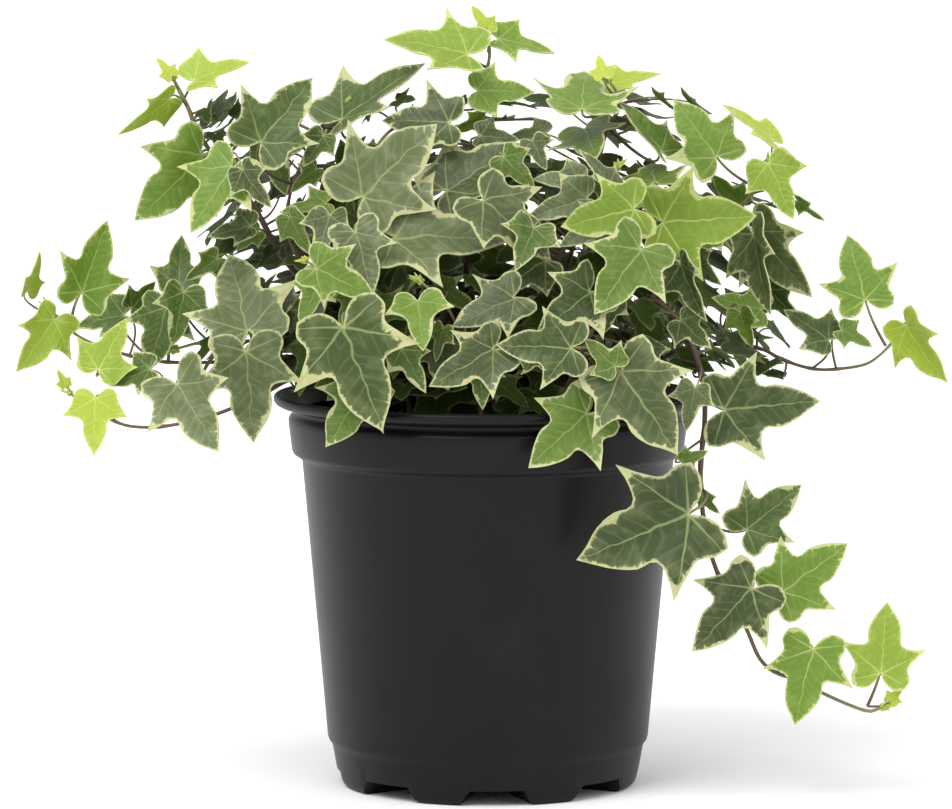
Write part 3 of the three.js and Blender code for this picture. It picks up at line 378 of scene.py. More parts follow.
# A root is (x, y) in the peat. A route continues it with (x, depth, z) and a leaf is
# (stalk x, stalk z, tip x, tip z, depth, tip depth - stalk depth, roll in degrees, age 0 to 1),
# where x and z are as sighted from the eye on the upright plane through the pot's axis, in mm.
# fill is (count, from, to, shortest, longest): leaves set by rule along that stretch of the stem.
VINES = [
    {
        "name": "vine_left_low", "girth": 2.4, "root": (-46, -16),
        "fill": (0, 0.4, 0.9, 16, 24),
        "route": [
            (-56, -20, 156), (-66, -22, 159), (-77, -24, 156), (-88, -26, 150), (-104, -27, 143),
            (-123, -28, 138.3), (-137, -28, 138), (-146, -26, 141), (-155, -24, 146), (-161, -22, 151),
        ],
        "leaves": [
            (-93, 167, -90.5, 131.5, -44, -3, 0, 0.92), (-119.5, 154.5, -104.5, 129, -52, -16, -4, 0.96),
            (-151, 149, -152, 126.5, -38, -4, 0, 0.12), (-130, 160, -147, 155, -30, 4, 35, 0.75),
            (-162.5, 154, -165.5, 160, -22, 0, 20, 0.05),
        ],
    },
    {
        "name": "vine_left_mid", "girth": 2.4, "root": (-52, 8),
        "fill": (4, 0.35, 0.7, 18, 28),
        "route": [
            (-60, 6, 160), (-76, 4, 165), (-100, 0, 163), (-125, -4, 163), (-140, -8, 166),
            (-156, -10, 172), (-164, -10, 179), (-169, -10, 184),
        ],
        "leaves": [
            (-156, 190, -145.5, 217.5, -16, 4, 30, 0.42), (-177, 190.5, -170.5, 205, -10, 0, 62, 0.2),
            (-167, 179.5, -180.5, 158.5, -18, -4, -32, 0.3), (-140, 181, -159, 177, 2, 8, 45, 0.7),
            (-150, 160, -139, 180, -26, 6, -8, 0.25), (-123.5, 184, -131, 160, -12, -6, 8, 0.75),
            (-137, 184, -127, 194, 4, 6, 20, 0.7),
        ],
    },
    {
        "name": "vine_left_grey", "girth": 2.6, "root": (-57, -4),
        "fill": (3, 0.3, 0.9, 20, 30),
        "route": [
            (-66, -8, 162), (-80, -11, 170), (-96, -13, 171), (-108, -13, 171), (-120, -12, 168),
        ],
        "leaves": [
            (-92, 175, -100, 206, -36, 24, 0, 0.95), (-119, 192.5, -117.5, 212.5, -6, 11, 0, 0.65),
            (-104, 203, -116, 194, -12, -2, -20, 0.55), (-117, 190, -121, 169, -20, -3, -12, 0.7),
        ],
    },
    {
        "name": "vine_left_tall", "girth": 3.2, "root": (-36, 26),
        "fill": (4, 0.3, 0.62, 20, 30),
        "route": [
            (-50, 20, 165), (-66, 12, 188), (-76, 8, 200), (-82, 6, 208), (-87, 4, 218), (-96, 2, 232),
            (-107, 0, 245), (-112, 0, 253), (-114.5, 0, 260), (-117.5, 0, 266), (-120.5, 0, 272),
        ],
        "leaves": [
            (-112.5, 271, -92, 280, -2, 2, -50, 0.2), (-121, 273, -126.5, 280, 0, 0, 35, 0.08),
            (-122, 264, -141, 249.5, -6, -3, -58, 0.25), (-110, 243, -134, 216.5, -14, -6, -20, 0.5),
            (-98, 238, -115, 214, -26, -8, 24, 0.45), (-91, 215, -108, 212, -8, 4, 42, 0.85),
            (-88, 213, -97, 206, 2, 0, 30, 0.5), (-94, 237, -84, 222, -14, -4, 20, 0.9),
        ],
    },
    {
        "name": "vine_left_twig", "girth": 2.4, "root": (-26, 4),
        "fill": (4, 0.3, 0.7, 20, 30),
        "route": [
            (-44, 0, 170), (-62, -4, 190), (-72, -4, 202), (-77, 0, 214), (-76, 4, 227), (-72, 8, 238),
            (-66, 10, 250), (-60, 10, 258), (-56, 10, 261),
        ],
        "leaves": [
            (-87, 247.5, -67, 272.5, -16, 8, -6, 0.7), (-83, 246, -78, 228.5, -4, -14, 0, 0.65),
            (-63, 250, -71, 238, -14, -2, 0, 0.75), (-66, 237, -76, 228.5, -2, 0, 30, 0.6),
            (-62, 224, -80, 221, -12, 0, 50, 0.5), (-76, 219, -68, 203, -16, -4, 40, 0.5),
        ],
    },
    {
        "name": "vine_centre_left", "girth": 2.6, "root": (-16, -20),
        "fill": (5, 0.25, 0.8, 22, 32),
        "route": [
            (-24, -26, 165), (-32, -29, 192), (-38, -28, 215), (-42, -24, 232), (-42, -16, 246),
            (-34, -10, 254), (-22, -8, 256),
        ],
        "leaves": [
            (-48, 226.5, -19, 255, -46, 10, 0, 1), (-51, 213, -44, 189.5, -57, -9, 0, 1),
            (-36, 211, 8, 213, -50, 2, -40, 0.95), (-15, 255, -41, 257, -14, 4, 30, 0.9),
            (-16, 229, 15, 249, -34, 6, -42, 0.95), (-56, 256, -25, 279, 6, 6, -60, 0.7),
        ],
    },
    {
        "name": "vine_top", "girth": 2.6, "root": (-3, 10),
        "fill": (6, 0.2, 0.62, 22, 32),
        "route": [
            (-8, 12, 175), (-8, 12, 205), (-5, 11, 235), (-2.5, 10, 255), (-3, 10, 262), (-1.5, 10, 271),
            (0.5, 10, 280), (0, 10, 288),
        ],
        "leaves": [
            (-8, 281, -39.5, 289.5, 0, 2, 46, 0.41), (0, 290, -6, 300, 8, 0, 20, 0.1),
            (4, 287, 26, 282.5, 10, 2, -55, 0.4), (-4, 267, 18, 267, -2, 2, -30, 0.5),
            (-3, 250, 12, 249, -8, 0, -30, 0.9), (-2, 256.5, -14, 251, -4, 0, -30, 0.45),
        ],
    },
    {
        "name": "vine_top_right", "girth": 2.4, "root": (17, 16),
        "fill": (6, 0.2, 0.7, 22, 32),
        "route": [
            (24, 14, 172), (32, 13, 205), (40, 11, 232), (46, 8, 253), (50, 6, 260), (49, 4, 267),
            (46, 3, 271),
        ],
        "leaves": [
            (36, 260, 37, 276, -4, 30, 0, 0.5), (44, 272.5, 42, 281.5, 0, 5, 0, 0.08),
            (66, 244, 51, 265, -8, 6, 62, 0.6), (37, 252.5, 41, 243, 6, -26, 0, 0.6),
            (22, 251, 8, 250, 8, 2, 45, 1), (17, 248, 22, 237.5, -18, -8, 0, 0.85),
            (46.5, 269.5, 66, 275.5, 3, 4, -60, 0.25),
        ],
    },
    {
        "name": "vine_centre_right", "girth": 2.4, "root": (12, -16),
        "fill": (3, 0.25, 0.7, 22, 30),
        "route": [
            (16, -21, 166), (22, -26, 190), (30, -30, 208), (39, -31, 220), (47, -28, 230), (50, -22, 238),
        ],
        "leaves": [
            (-2, 225, 25, 204, -52, -6, -42, 0.95), (56, 222, 28, 215, -62, -2, 0, 0.37),
            (38, 226, 14.5, 219, -44, 0, 20, 1), (46, 217, 27, 208, -52, -2, 20, 1),
            (35, 232, 17, 234, -34, 0, 42, 1), (6, 242, 18, 230, -28, -4, 0, 0.6),
            (47, 231, 33.5, 232, -38, 0, 0, 0.8), (47, 231, 36, 246, -32, 4, 58, 0.9),
            (22, 202, 2, 189, -42, -4, 20, 0.85),
        ],
    },
    {
        "name": "vine_right_up", "girth": 2.8, "root": (34, -2),
        "fill": (4, 0.2, 0.6, 22, 30),
        "route": [
            (46, 0, 165), (62, 1, 190), (78, 0, 206), (89, -2, 215), (97, -4, 223), (103, -6, 230),
            (107, -8, 238),
        ],
        "leaves": [
            (87.5, 242, 71, 264.5, -12, 4, 5, 0.5), (108.5, 248.5, 91, 263.5, -10, 2, 70, 0.25),
            (107.5, 239.5, 117, 218, -22, -6, 0, 0.4), (119, 225, 129, 217, -10, 0, 62, 0.5),
            (97, 223.5, 85, 235, 0, 2, -20, 0.5), (103, 213.5, 123, 187, -20, -6, 35, 0.95),
            (102, 212, 107, 181, -26, -8, 62, 0.95), (67, 217, 103, 219, -44, -4, 10, 0.35),
            (64, 232, 62, 242, -24, 24, 0, 0.65), (88, 212, 80, 203.5, -14, 0, 20, 0.5),
        ],
    },
    {
        "name": "vine_right_reach", "girth": 2.4, "root": (50, 14),
        "fill": (4, 0.25, 0.55, 20, 28),
        "route": [
            (60, 13, 160), (75, 10, 168), (92, 6, 170), (105, 2, 168), (112, 0, 164.5), (120, -2, 161.5),
            (128, -4, 160), (137, -5, 160.5), (145, -6, 162), (150, -6, 165), (155, -6, 170),
            (157, -6, 174),
        ],
        "leaves": [
            (105, 183, 86, 188, -6, -4, 20, 0.5), (97, 182, 101, 168, -14, 0, 30, 0.5),
            (108, 191, 121, 177, -4, -2, 40, 0.8), (131, 171.5, 114, 184, -10, 4, 35, 0.8),
            (136, 175, 148, 169, -12, -2, -30, 0.6), (145, 187, 138, 212.5, -8, 6, 0, 0.4),
            (161, 177, 175, 154, -14, -6, 50, 0.25),
        ],
    },
    {
        "name": "vine_right_trail", "girth": 3, "root": (46, -28),
        "fill": (0, 0.3, 0.7, 16, 24),
        "route": [
            (54, -33, 168), (62, -37, 186), (69, -40, 183), (76, -42, 174), (80, -43, 165), (83, -43, 154),
            (83.5, -42, 140), (82, -42, 122), (83, -42, 104), (86, -42, 89), (91, -42, 76), (97, -42, 66),
            (101, -42, 57), (105, -42, 48), (110, -42, 43), (117, -42, 40), (124, -42, 37),
            (131, -42, 33.5), (140, -42, 29.5), (148, -42, 27), (153, -42, 29),
        ],
        "leaves": [
            (91, 144.5, 128, 147.5, -52, -4, 0, 0.88), (75, 124.5, 85, 128.5, -62, 0, 0, 0.5),
            (80, 153, 76, 136, -60, -2, 25, 1), (77.5, 104, 34.5, 85.5, -74, -2, 0, 0.85),
            (100, 98, 121.5, 115.5, -42, 4, 0, 0.7), (114, 74, 139, 92.5, -52, 0, 0, 0.44),
            (102, 75, 79.5, 50, -62, -4, 0, 0.8), (125.5, 51.5, 119, 21.5, -52, -4, 4, 0.4),
            (152, 42, 155, 70, -46, 4, 8, 0.36), (156, 31, 161, 37.5, -42, 0, 0, 0.1),
            (83, 111, 89, 103.5, -50, 0, 30, 0.6), (74, 201, 82, 178, -50, -6, 52, 0.8),
            (77, 205, 89, 192, -44, -2, 35, 0.9), (74, 179, 86, 168, -52, -4, 0, 0.75),
        ],
    },
    {
        "name": "vine_front_left", "girth": 2.4, "root": (-30, -42),
        "fill": (2, 0.3, 0.8, 20, 26),
        "route": [
            (-37, -48, 158), (-45, -54, 175), (-53, -58, 188), (-62, -58, 197), (-70, -54, 202),
        ],
        "leaves": [
            (-55.5, 176.5, -41, 136.5, -84, -6, 0, 0.85), (-47, 153, -62.5, 130, -76, -4, 0, 0.6),
            (-52, 189, -57, 177, -64, -2, 0, 0.6), (-66, 199, -43, 188, -66, -2, -28, 0.5),
            (-64, 195, -73, 177, -58, -4, 22, 0.45), (-33, 168, -24, 151, -76, -4, 0, 0.7),
        ],
    },
    {
        "name": "vine_front_middle", "girth": 2.2, "root": (-3, -52),
        "fill": (2, 0.3, 0.8, 20, 26),
        "route": [
            (-6, -57, 156), (-10, -61, 172), (-17, -63, 186), (-26, -62, 194),
        ],
        "leaves": [
            (-27, 186.5, -25, 168, -74, -16, 0, 0.5), (2, 168, -22, 153.5, -82, -6, 0, 0.85),
            (-17, 176, -21, 163, -68, 0, 40, 0.6), (-3, 162, -2, 144.5, -76, -4, 0, 0.7),
            (10, 188, -14, 177, -62, -4, 30, 0.9),
        ],
    },
    {
        "name": "vine_front_right", "girth": 2.4, "root": (27, -46),
        "fill": (2, 0.3, 0.8, 20, 26),
        "route": [
            (32, -52, 157), (39, -56, 173), (47, -58, 188), (53, -54, 200),
        ],
        "leaves": [
            (51.5, 159.5, 73, 127, -84, -6, 0, 0.9), (38, 143, 16, 122, -80, -8, 0, 0.6),
            (32, 168.5, 3, 169.5, -88, 2, 0, 0.8), (39, 190, 20, 174, -76, -16, 0, 0.8),
            (48, 187, 44.5, 174, -72, -4, 0, 0.8), (49, 161, 37, 172, -70, 0, 0, 0.6),
            (58.5, 206.5, 41, 181.5, -66, -10, 0, 0.56),
        ],
    },
    {
        "name": "vine_rear_left", "girth": 2.8, "root": (-14, 34),
        "fill": (11, 0.25, 1, 22, 36),
        "route": [
            (-20, 38, 170), (-30, 44, 195), (-42, 48, 215), (-56, 46, 228),
        ],
        "leaves": [],
    },
    {
        "name": "vine_rear_right", "girth": 2.8, "root": (16, 38),
        "fill": (11, 0.25, 1, 22, 36),
        "route": [
            (22, 42, 170), (32, 46, 195), (46, 48, 215), (62, 44, 224),
        ],
        "leaves": [],
    },
    {
        "name": "vine_back_left", "girth": 2.6, "root": (-36, 48),
        "fill": (11, 0.22, 1, 20, 36),
        "route": [
            (-44, 62, 166), (-52, 78, 170), (-58, 92, 158), (-58, 99, 138), (-52, 100, 112),
            (-44, 100, 88),
        ],
        "leaves": [],
    },
    {
        "name": "vine_back_middle", "girth": 2.6, "root": (2, 56),
        "fill": (10, 0.22, 1, 20, 36),
        "route": [
            (4, 70, 166), (6, 84, 174), (8, 98, 166), (10, 106, 148), (12, 108, 124),
        ],
        "leaves": [],
    },
    {
        "name": "vine_back_right", "girth": 2.6, "root": (38, 46),
        "fill": (11, 0.22, 1, 20, 36),
        "route": [
            (46, 60, 166), (54, 76, 172), (60, 90, 160), (60, 98, 140), (54, 100, 116), (46, 100, 94),
            (40, 98, 74),
        ],
        "leaves": [],
    },
]


def sighted(x, depth, z):
    """The true place of a point sighted at x and z on the plane through the pot's axis."""
    share = (depth - EYE.y) / -EYE.y
    return EYE + (Vector((x, 0, z)) - EYE) * share


def walked(points):
    """How far along a line of points each of them lies."""
    return np.concatenate([[0], np.cumsum([(b - a).length for a, b in zip(points, points[1:])])])


def smooth_line(points, count):
    """A smooth curve through the points: evenly spaced points on it, its length, and itself."""
    ends = [points[0] * 2 - points[1]] + points + [points[-1] * 2 - points[-2]]

    def at(share):
        whole = min(int(share * (len(points) - 1)), len(points) - 2)
        t = share * (len(points) - 1) - whole
        before, start, end, after = ends[whole : whole + 4]
        leave, arrive = (end - before) / 2, (after - start) / 2
        bend = (end - start) * 3 - leave * 2 - arrive
        return start + leave * t + bend * t * t + ((start - end) * 2 + leave + arrive) * t**3

    lengths = walked([at(i / CURVE_STEPS) for i in range(CURVE_STEPS + 1)])
    even = np.linspace(0, lengths[-1], count + 1)
    shares = np.interp(even, lengths, np.linspace(0, 1, CURVE_STEPS + 1))
    return [at(share) for share in shares], lengths[-1], at


def stem_points(vine):
    x, y = vine["root"]
    foot = [Vector((x, y, PEAT_TOP + height)) for height in STEM_FOOT]
    return foot + [sighted(*point) for point in vine["route"]]


def leaf_draw(number, index, attempt, kind):
    """The random draws of one leaf of one vine, for one kind of leaf."""
    return stream(7919 * index + 104729 * number + 613 * attempt + kind)


def squared(vector, axis):
    """The part of a vector square to an axis, 1 long."""
    return (vector - axis * vector.dot(axis)).normalized()


def leaf_pose(base, length, along, facing):
    """Where a blade's stalk joins it, its length, and its three directions."""
    return {"base": base, "length": length, "along": along, "facing": facing, "across": along.cross(facing)}


def leaf_bend(draw):
    return {
        "spread": LEAF_SPREAD * (0.94 + 0.12 * draw()),
        "fold": 0.06 + 0.24 * draw(),
        "droop": 0.03 + 0.12 * draw(),
        "wave": 0.02 + 0.03 * draw(),
        "phase": FULL_TURN * draw(),
    }


def leaf_point(leaf, across, along):
    """Points of a blade from places on its flat pattern: across and along may be arrays."""
    u = np.asarray(across, float) * leaf["spread"]
    v = np.asarray(along, float)
    bend = leaf["droop"] * v * np.abs(v)
    ripple = leaf["wave"] * np.sin(9 * u + 4 * v + leaf["phase"]) * np.minimum(1, 3 * np.abs(u))
    lift = leaf["fold"] * np.abs(u) - bend + ripple
    place = np.multiply.outer(u, leaf["across"]) + np.multiply.outer(v, leaf["along"])
    return np.array(leaf["base"]) + leaf["length"] * (place + np.multiply.outer(lift, leaf["facing"]))


def turned_about(vector, axis, angle):
    return Matrix.Rotation(angle, 3, axis) @ vector


def sighted_leaf(row, slide, draw):
    base_x, base_z, tip_x, tip_z, depth, lean, roll, age = row
    base = sighted(base_x, depth + slide, base_z)
    along = sighted(tip_x, depth + slide + lean, tip_z) - base
    length = along.length
    along.normalize()
    facing = turned_about(squared(Vector((0, -1, 0)), along), along, math.radians(roll))
    return {**leaf_pose(base, length, along, facing), "age": age, **leaf_bend(draw)}


def filled_leaf(vine, number, at, index, attempt):
    """A leaf set by rule: it looks outward and up, and its tip hangs."""
    count, first, last, shortest, longest = vine["fill"]
    draw = leaf_draw(number, index, attempt, FILLED_DRAW)
    share = first + ((last - first) * (index + draw())) / count
    start = at(share)
    outward = Vector((start.x, start.y, 0)).normalized()
    side = turned_about(outward, Vector((0, 0, 1)), math.radians(GOLDEN_DEGREES * index + 90 * draw()))
    reach = 16 + 20 * draw()
    base = start + side * (reach * 0.75) + outward * (reach * 0.35)
    base.z += reach * (0.1 + 0.6 * draw())
    facing = outward * (0.5 + 0.5 * draw())
    facing = (facing + Vector((draw() - 0.5, draw() - 0.5, 0.35 + 0.7 * draw()))).normalized()
    tipward = squared(Vector((draw() - 0.5, draw() - 0.5, -0.7)) + side * 0.5, facing)
    length = (shortest + (longest - shortest) * draw()) * (1 - 0.35 * share * share)
    age = min(1, max(0.15, 1.05 - 0.8 * share * share + 0.3 * (draw() - 0.5)))
    return {**leaf_pose(base, length, tipward, facing), "age": age, **leaf_bend(draw)}


def cad_points(name):
    """The corners of a vine's solid, in millimetres, to look places up in."""
    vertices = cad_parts[name].data.vertices
    found = kdtree.KDTree(len(vertices))
    for vertex in vertices:
        found.insert(vertex.co / MM, vertex.index)
    found.balance()
    return found


def grows(corners, leaf):
    """Whether the vine's solid has this leaf, by the corner at the tip of its blade."""
    tip = Vector(leaf_point(leaf, 0, 1)) + leaf["facing"] * (BLADE_THICKNESS / 2)
    return corners.find(tip)[2] < MATCH


def stalk_line(leaf, start, bow, seat):
    """The bowed middle line of a leaf's stalk, from the stem to its seat on the blade."""
    end = Vector(leaf_point(leaf, 0, seat))
    reach = (start - end).length
    knee = end - leaf["along"] * (0.4 * reach) - leaf["facing"] * (bow * reach)
    steps = np.linspace(0, 1, STALK_RINGS + 1)
    return [start * (1 - t) ** 2 + knee * (2 * t * (1 - t)) + end * t * t for t in steps]


def stalk_of(corners, joints, leaf):
    """The stalk that the vine's solid has: the one with corners all round its middle."""
    nearest = min(range(len(joints)), key=lambda i: (joints[i] - leaf["base"]).length)
    radius = STALK_RADIUS * (1 if leaf["length"] > LOBED_LENGTH else 0.8)
    for back, bow in [(back, bow) for back in STALK_BACKS for bow in STALK_BOWS]:
        start = joints[max(LOWEST_JOINT, nearest - back)]
        line = stalk_line(leaf, start, bow, SOLID_STALK_SEAT)
        lengths = walked(line)
        middle = Vector([np.interp(lengths[-1] / 2, lengths, [p[k] for p in line]) for k in range(3)])
        ring = [d for _, _, d in corners.find_range(middle, radius + MATCH) if d > radius - MATCH]
        if len(ring) >= 3:
            return start, bow
    return joints[max(LOWEST_JOINT, nearest - STALK_BACKS[0])], STALK_BOWS[0]


# The flat patterns of a blade, for a leaf 1 long: half its outline from the stalk round to the
# tip, (across, along, pointed). Each pattern is cut a little differently on its two sides.
FIVE_LOBED_HALF = [
    (0.1, -0.165, 0), (0.235, -0.225, 0), (0.36, -0.19, 1), (0.395, -0.06, 0), (0.35, 0.075, 0),
    (0.42, 0.19, 0), (0.575, 0.39, 1), (0.385, 0.372, 0), (0.236, 0.405, 0), (0.232, 0.56, 0),
    (0.175, 0.74, 0), (0.07, 0.9, 0),
]
THREE_LOBED_HALF = [
    (0.09, -0.12, 0), (0.21, -0.175, 0), (0.315, -0.13, 0), (0.37, 0.02, 0), (0.42, 0.16, 0),
    (0.525, 0.32, 1), (0.35, 0.34, 0), (0.205, 0.4, 0), (0.185, 0.58, 0), (0.115, 0.79, 0), (0.045, 0.93, 0),
]
OUTLINE_STRAY = 0.02
FINE_CELL = 0.1
COARSE_CELL = 0.24
PATTERNS = 6
LEAF_THICKNESS = 0.42


def leaf_pattern(name, half, seed, cell):
    """Cuts one flat leaf: its outline, then a net of cells that lets it bend."""
    draw = stream(seed)
    sides = []
    for sign in (1, -1):
        reach = 0.94 + 0.1 * draw()
        cut_in = 0.02 * (draw() - 0.5)
        side = []
        for i, (u, v, pointed) in enumerate(half):
            stray_u, stray_v = OUTLINE_STRAY * (draw() - 0.5), OUTLINE_STRAY * (draw() - 0.5)
            side.append((sign * (u * reach + stray_u), v + cut_in * (1 - v) + stray_v, pointed))
        sides.append(side)
    outline = [(0, 0.0, 1)] + sides[0] + [(0, 1, 1)] + sides[1][::-1]
    bpy.ops.curve.primitive_bezier_circle_add()
    pattern = bpy.context.object
    pattern.name = name
    pattern.data.dimensions = "2D"
    pattern.data.fill_mode = "BOTH"
    pattern.data.resolution_u = 3
    spline = pattern.data.splines[0]
    spline.bezier_points.add(len(outline) - len(spline.bezier_points))
    for point, (u, v, pointed) in zip(spline.bezier_points, outline):
        point.co = (u, v, 0)
        point.handle_left_type = point.handle_right_type = "VECTOR" if pointed else "AUTO"
    pick(pattern)
    bpy.ops.object.convert(target="MESH")
    edit(pattern)
    bpy.ops.mesh.remove_doubles(threshold=0.002)
    bpy.ops.mesh.dissolve_limited(angle_limit=math.radians(1))
    finish_edit()
    corners = [vertex.co[:2] for vertex in pattern.data.vertices]
    rim = np.array([[corners[a], corners[b]] for a, b in pattern.data.edge_keys])
    edit(pattern)
    for k in range(-int(0.6 / cell), int(0.6 / cell) + 1):
        bpy.ops.mesh.select_all(action="SELECT")
        bpy.ops.mesh.bisect(plane_co=(k * cell, 0, 0), plane_no=(1, 0, 0))
    for k in range(-int(0.25 / cell), int(1 / cell) + 1):
        bpy.ops.mesh.select_all(action="SELECT")
        bpy.ops.mesh.bisect(plane_co=(0, k * cell, 0), plane_no=(0, 1, 0))
    bpy.ops.mesh.select_all(action="SELECT")
    bpy.ops.mesh.remove_doubles(threshold=0.006)
    bpy.ops.mesh.quads_convert_to_tris(quad_method="BEAUTY", ngon_method="BEAUTY")
    finish_edit()
    flat = np.array([vertex.co[:2] for vertex in pattern.data.vertices])
    side = rim[:, 1] - rim[:, 0]
    share = ((flat[:, None] - rim[None, :, 0]) * side).sum(2) / (side**2).sum(1)
    nearest = rim[None, :, 0] + np.clip(share, 0, 1)[..., None] * side
    from_rim = np.linalg.norm(flat[:, None] - nearest, axis=2).min(1)
    place = pattern.data.attributes.new("leaf_place", "FLOAT_VECTOR", "POINT")
    place.data.foreach_set("vector", np.column_stack([flat, from_rim]).astype(np.float32).ravel())
    return pattern


five_lobed = [leaf_pattern("five_lobed", FIVE_LOBED_HALF, 31 + i, FINE_CELL) for i in range(PATTERNS)]
three_lobed = [leaf_pattern("three_lobed", THREE_LOBED_HALF, 61 + i, FINE_CELL) for i in range(PATTERNS)]
shaded = [leaf_pattern("shaded", FIVE_LOBED_HALF[::2], 91 + i, COARSE_CELL) for i in range(PATTERNS)]


def grow_leaf(leaf, seed):
    """One leaf, bent from a copy of a pattern."""
    patterns = five_lobed if leaf["length"] > LOBED_LENGTH else three_lobed
    patterns = shaded if leaf.get("shaded") else patterns
    pattern = patterns[int(seed * 997) % PATTERNS]
    blade = pattern.copy()
    blade.data = pattern.data.copy()
    bpy.context.collection.objects.link(blade)
    count = len(blade.data.vertices)
    place = np.empty(count * 3, np.float32)
    blade.data.attributes["leaf_place"].data.foreach_get("vector", place)
    u, v, _ = place.reshape(-1, 3).T
    blade.data.vertices.foreach_set("co", (leaf_point(leaf, u, v) * MM).astype(np.float32).ravel())
    # The third value marks the leaves inside the bush, which their material darkens with painted shade.
    kind = np.array([leaf["age"], seed, leaf.get("shaded", 0)], np.float32)
    attribute = blade.data.attributes.new("leaf_kind", "FLOAT_VECTOR", "POINT")
    attribute.data.foreach_set("vector", np.tile(kind, count))
    return blade


def joined(name, pieces):
    pick(*pieces)
    bpy.ops.object.join()
    pieces[0].name = name
    return pieces[0]


def rods(name, lines, sides):
    """Round rods along lines of points in millimetres, each point with its radius and its growth."""
    bpy.ops.curve.primitive_nurbs_path_add()
    rod = bpy.context.object
    rod.name = name
    rod.data.splines.clear()
    rod.data.bevel_depth = MM
    rod.data.bevel_resolution = sides // 2 - 2
    rod.data.use_fill_caps = True
    along = kdtree.KDTree(sum(len(line) for line in lines))
    growths = []
    for line in lines:
        spline = rod.data.splines.new("POLY")
        spline.points.add(len(line) - 1)
        for point, (place, radius, growth) in zip(spline.points, line):
            point.co = (*(place * MM), 1)
            point.radius = radius
            along.insert(place * MM, len(growths))
            growths.append(growth)
    along.balance()
    pick(rod)
    bpy.ops.object.convert(target="MESH")
    bpy.ops.object.shade_smooth()
    values = [growths[along.find(v.co)[1]] for v in rod.data.vertices]
    growth = rod.data.attributes.new("growth", "FLOAT", "POINT")
    growth.data.foreach_set("value", np.array(values, np.float32))
    return rod


# Leaf colours run from a shoot's tip (0) to its oldest leaves (1); the second set is the paler
# zone that spreads in from the edge and along the veins.
LEAF_TONES = [
    (0.0, (0.42, 0.48, 0.045)), (0.25, (0.27, 0.365, 0.034)), (0.45, (0.115, 0.20, 0.018)),
    (0.65, (0.060, 0.106, 0.012)), (0.85, (0.033, 0.051, 0.011)), (1.0, (0.098, 0.126, 0.043)),
]
PALE_TONES = [
    (0.0, (0.48, 0.55, 0.085)), (0.25, (0.34, 0.44, 0.065)), (0.45, (0.185, 0.275, 0.042)),
    (0.65, (0.13, 0.185, 0.042)), (0.85, (0.105, 0.132, 0.048)), (1.0, (0.19, 0.22, 0.115)),
]
CREAM = (0.53, 0.54, 0.27, 1)
LIME_CREAM = (0.50, 0.57, 0.16, 1)
TAN = (0.46, 0.38, 0.18, 1)
VEIN_PALE = (0.29, 0.35, 0.13, 1)
VEIN_YOUNG = (0.56, 0.64, 0.17, 1)
UNDERSIDE = (0.26, 0.33, 0.11, 1)
# The deep green that the leaves inside the bush are mixed toward: painted shade.
PAINTED_SHADE_GREEN = (0.02, 0.036, 0.004, 1)
VEINS = [(0, 0.97), (56, 0.64), (110, 0.40)]
VEIN_WIDTH = 0.013
VEIN_WANDER = 0.09
BRANCH_SPACING = 0.115
BRANCH_WANDER = 0.16
LEAF_SHINE = 0.34
SHADED_SHINE = 0.05
LEAF_RELIEF = 0.0004
WANDER_SCALE = 4.5
PATCH_SCALE = 2.4
BLOTCH_SCALE = 7
TOOTH_SCALE = 22
CELL_SCALE = 60


def ramp(tree, value, stops):
    made = node(tree, "ShaderNodeValToRGB", {"Fac": value})
    while len(made.color_ramp.elements) < len(stops):
        made.color_ramp.elements.new(0.5)
    for element, (position, colour) in zip(made.color_ramp.elements, stops):
        element.position = position
        element.color = (*colour, 1)
    return made.outputs["Color"]


def new_group(name, inputs, outputs):
    group = bpy.data.node_groups.new(name, "ShaderNodeTree")
    for title, kind in inputs:
        group.interface.new_socket(title, in_out="INPUT", socket_type=kind)
    for title, kind in outputs:
        group.interface.new_socket(title, in_out="OUTPUT", socket_type=kind)
    return group, group.nodes.new("NodeGroupInput"), group.nodes.new("NodeGroupOutput")


def leaf_spot(tree, ends, apart):
    """The place on the blade: its parts, itself laid flat, and a spot in a noise of its own."""
    parts = node(tree, "ShaderNodeSeparateXYZ", {0: ends.outputs["Place"]}).outputs
    flat = node(tree, "ShaderNodeCombineXYZ", {0: parts[0], 1: parts[1]}).outputs[0]
    layer = math_node(tree, "MULTIPLY", ends.outputs["Seed"], apart)
    shift = node(tree, "ShaderNodeCombineXYZ", {2: layer}).outputs[0]
    return parts, flat, node(tree, "ShaderNodeVectorMath", {0: flat, 1: shift}, operation="ADD").outputs[0]


def grouped(tree, group, inputs):
    made = node(tree, "ShaderNodeGroup", node_tree=group)
    for title, value in inputs.items():
        tree.links.new(value, made.inputs[title])
    return made.outputs


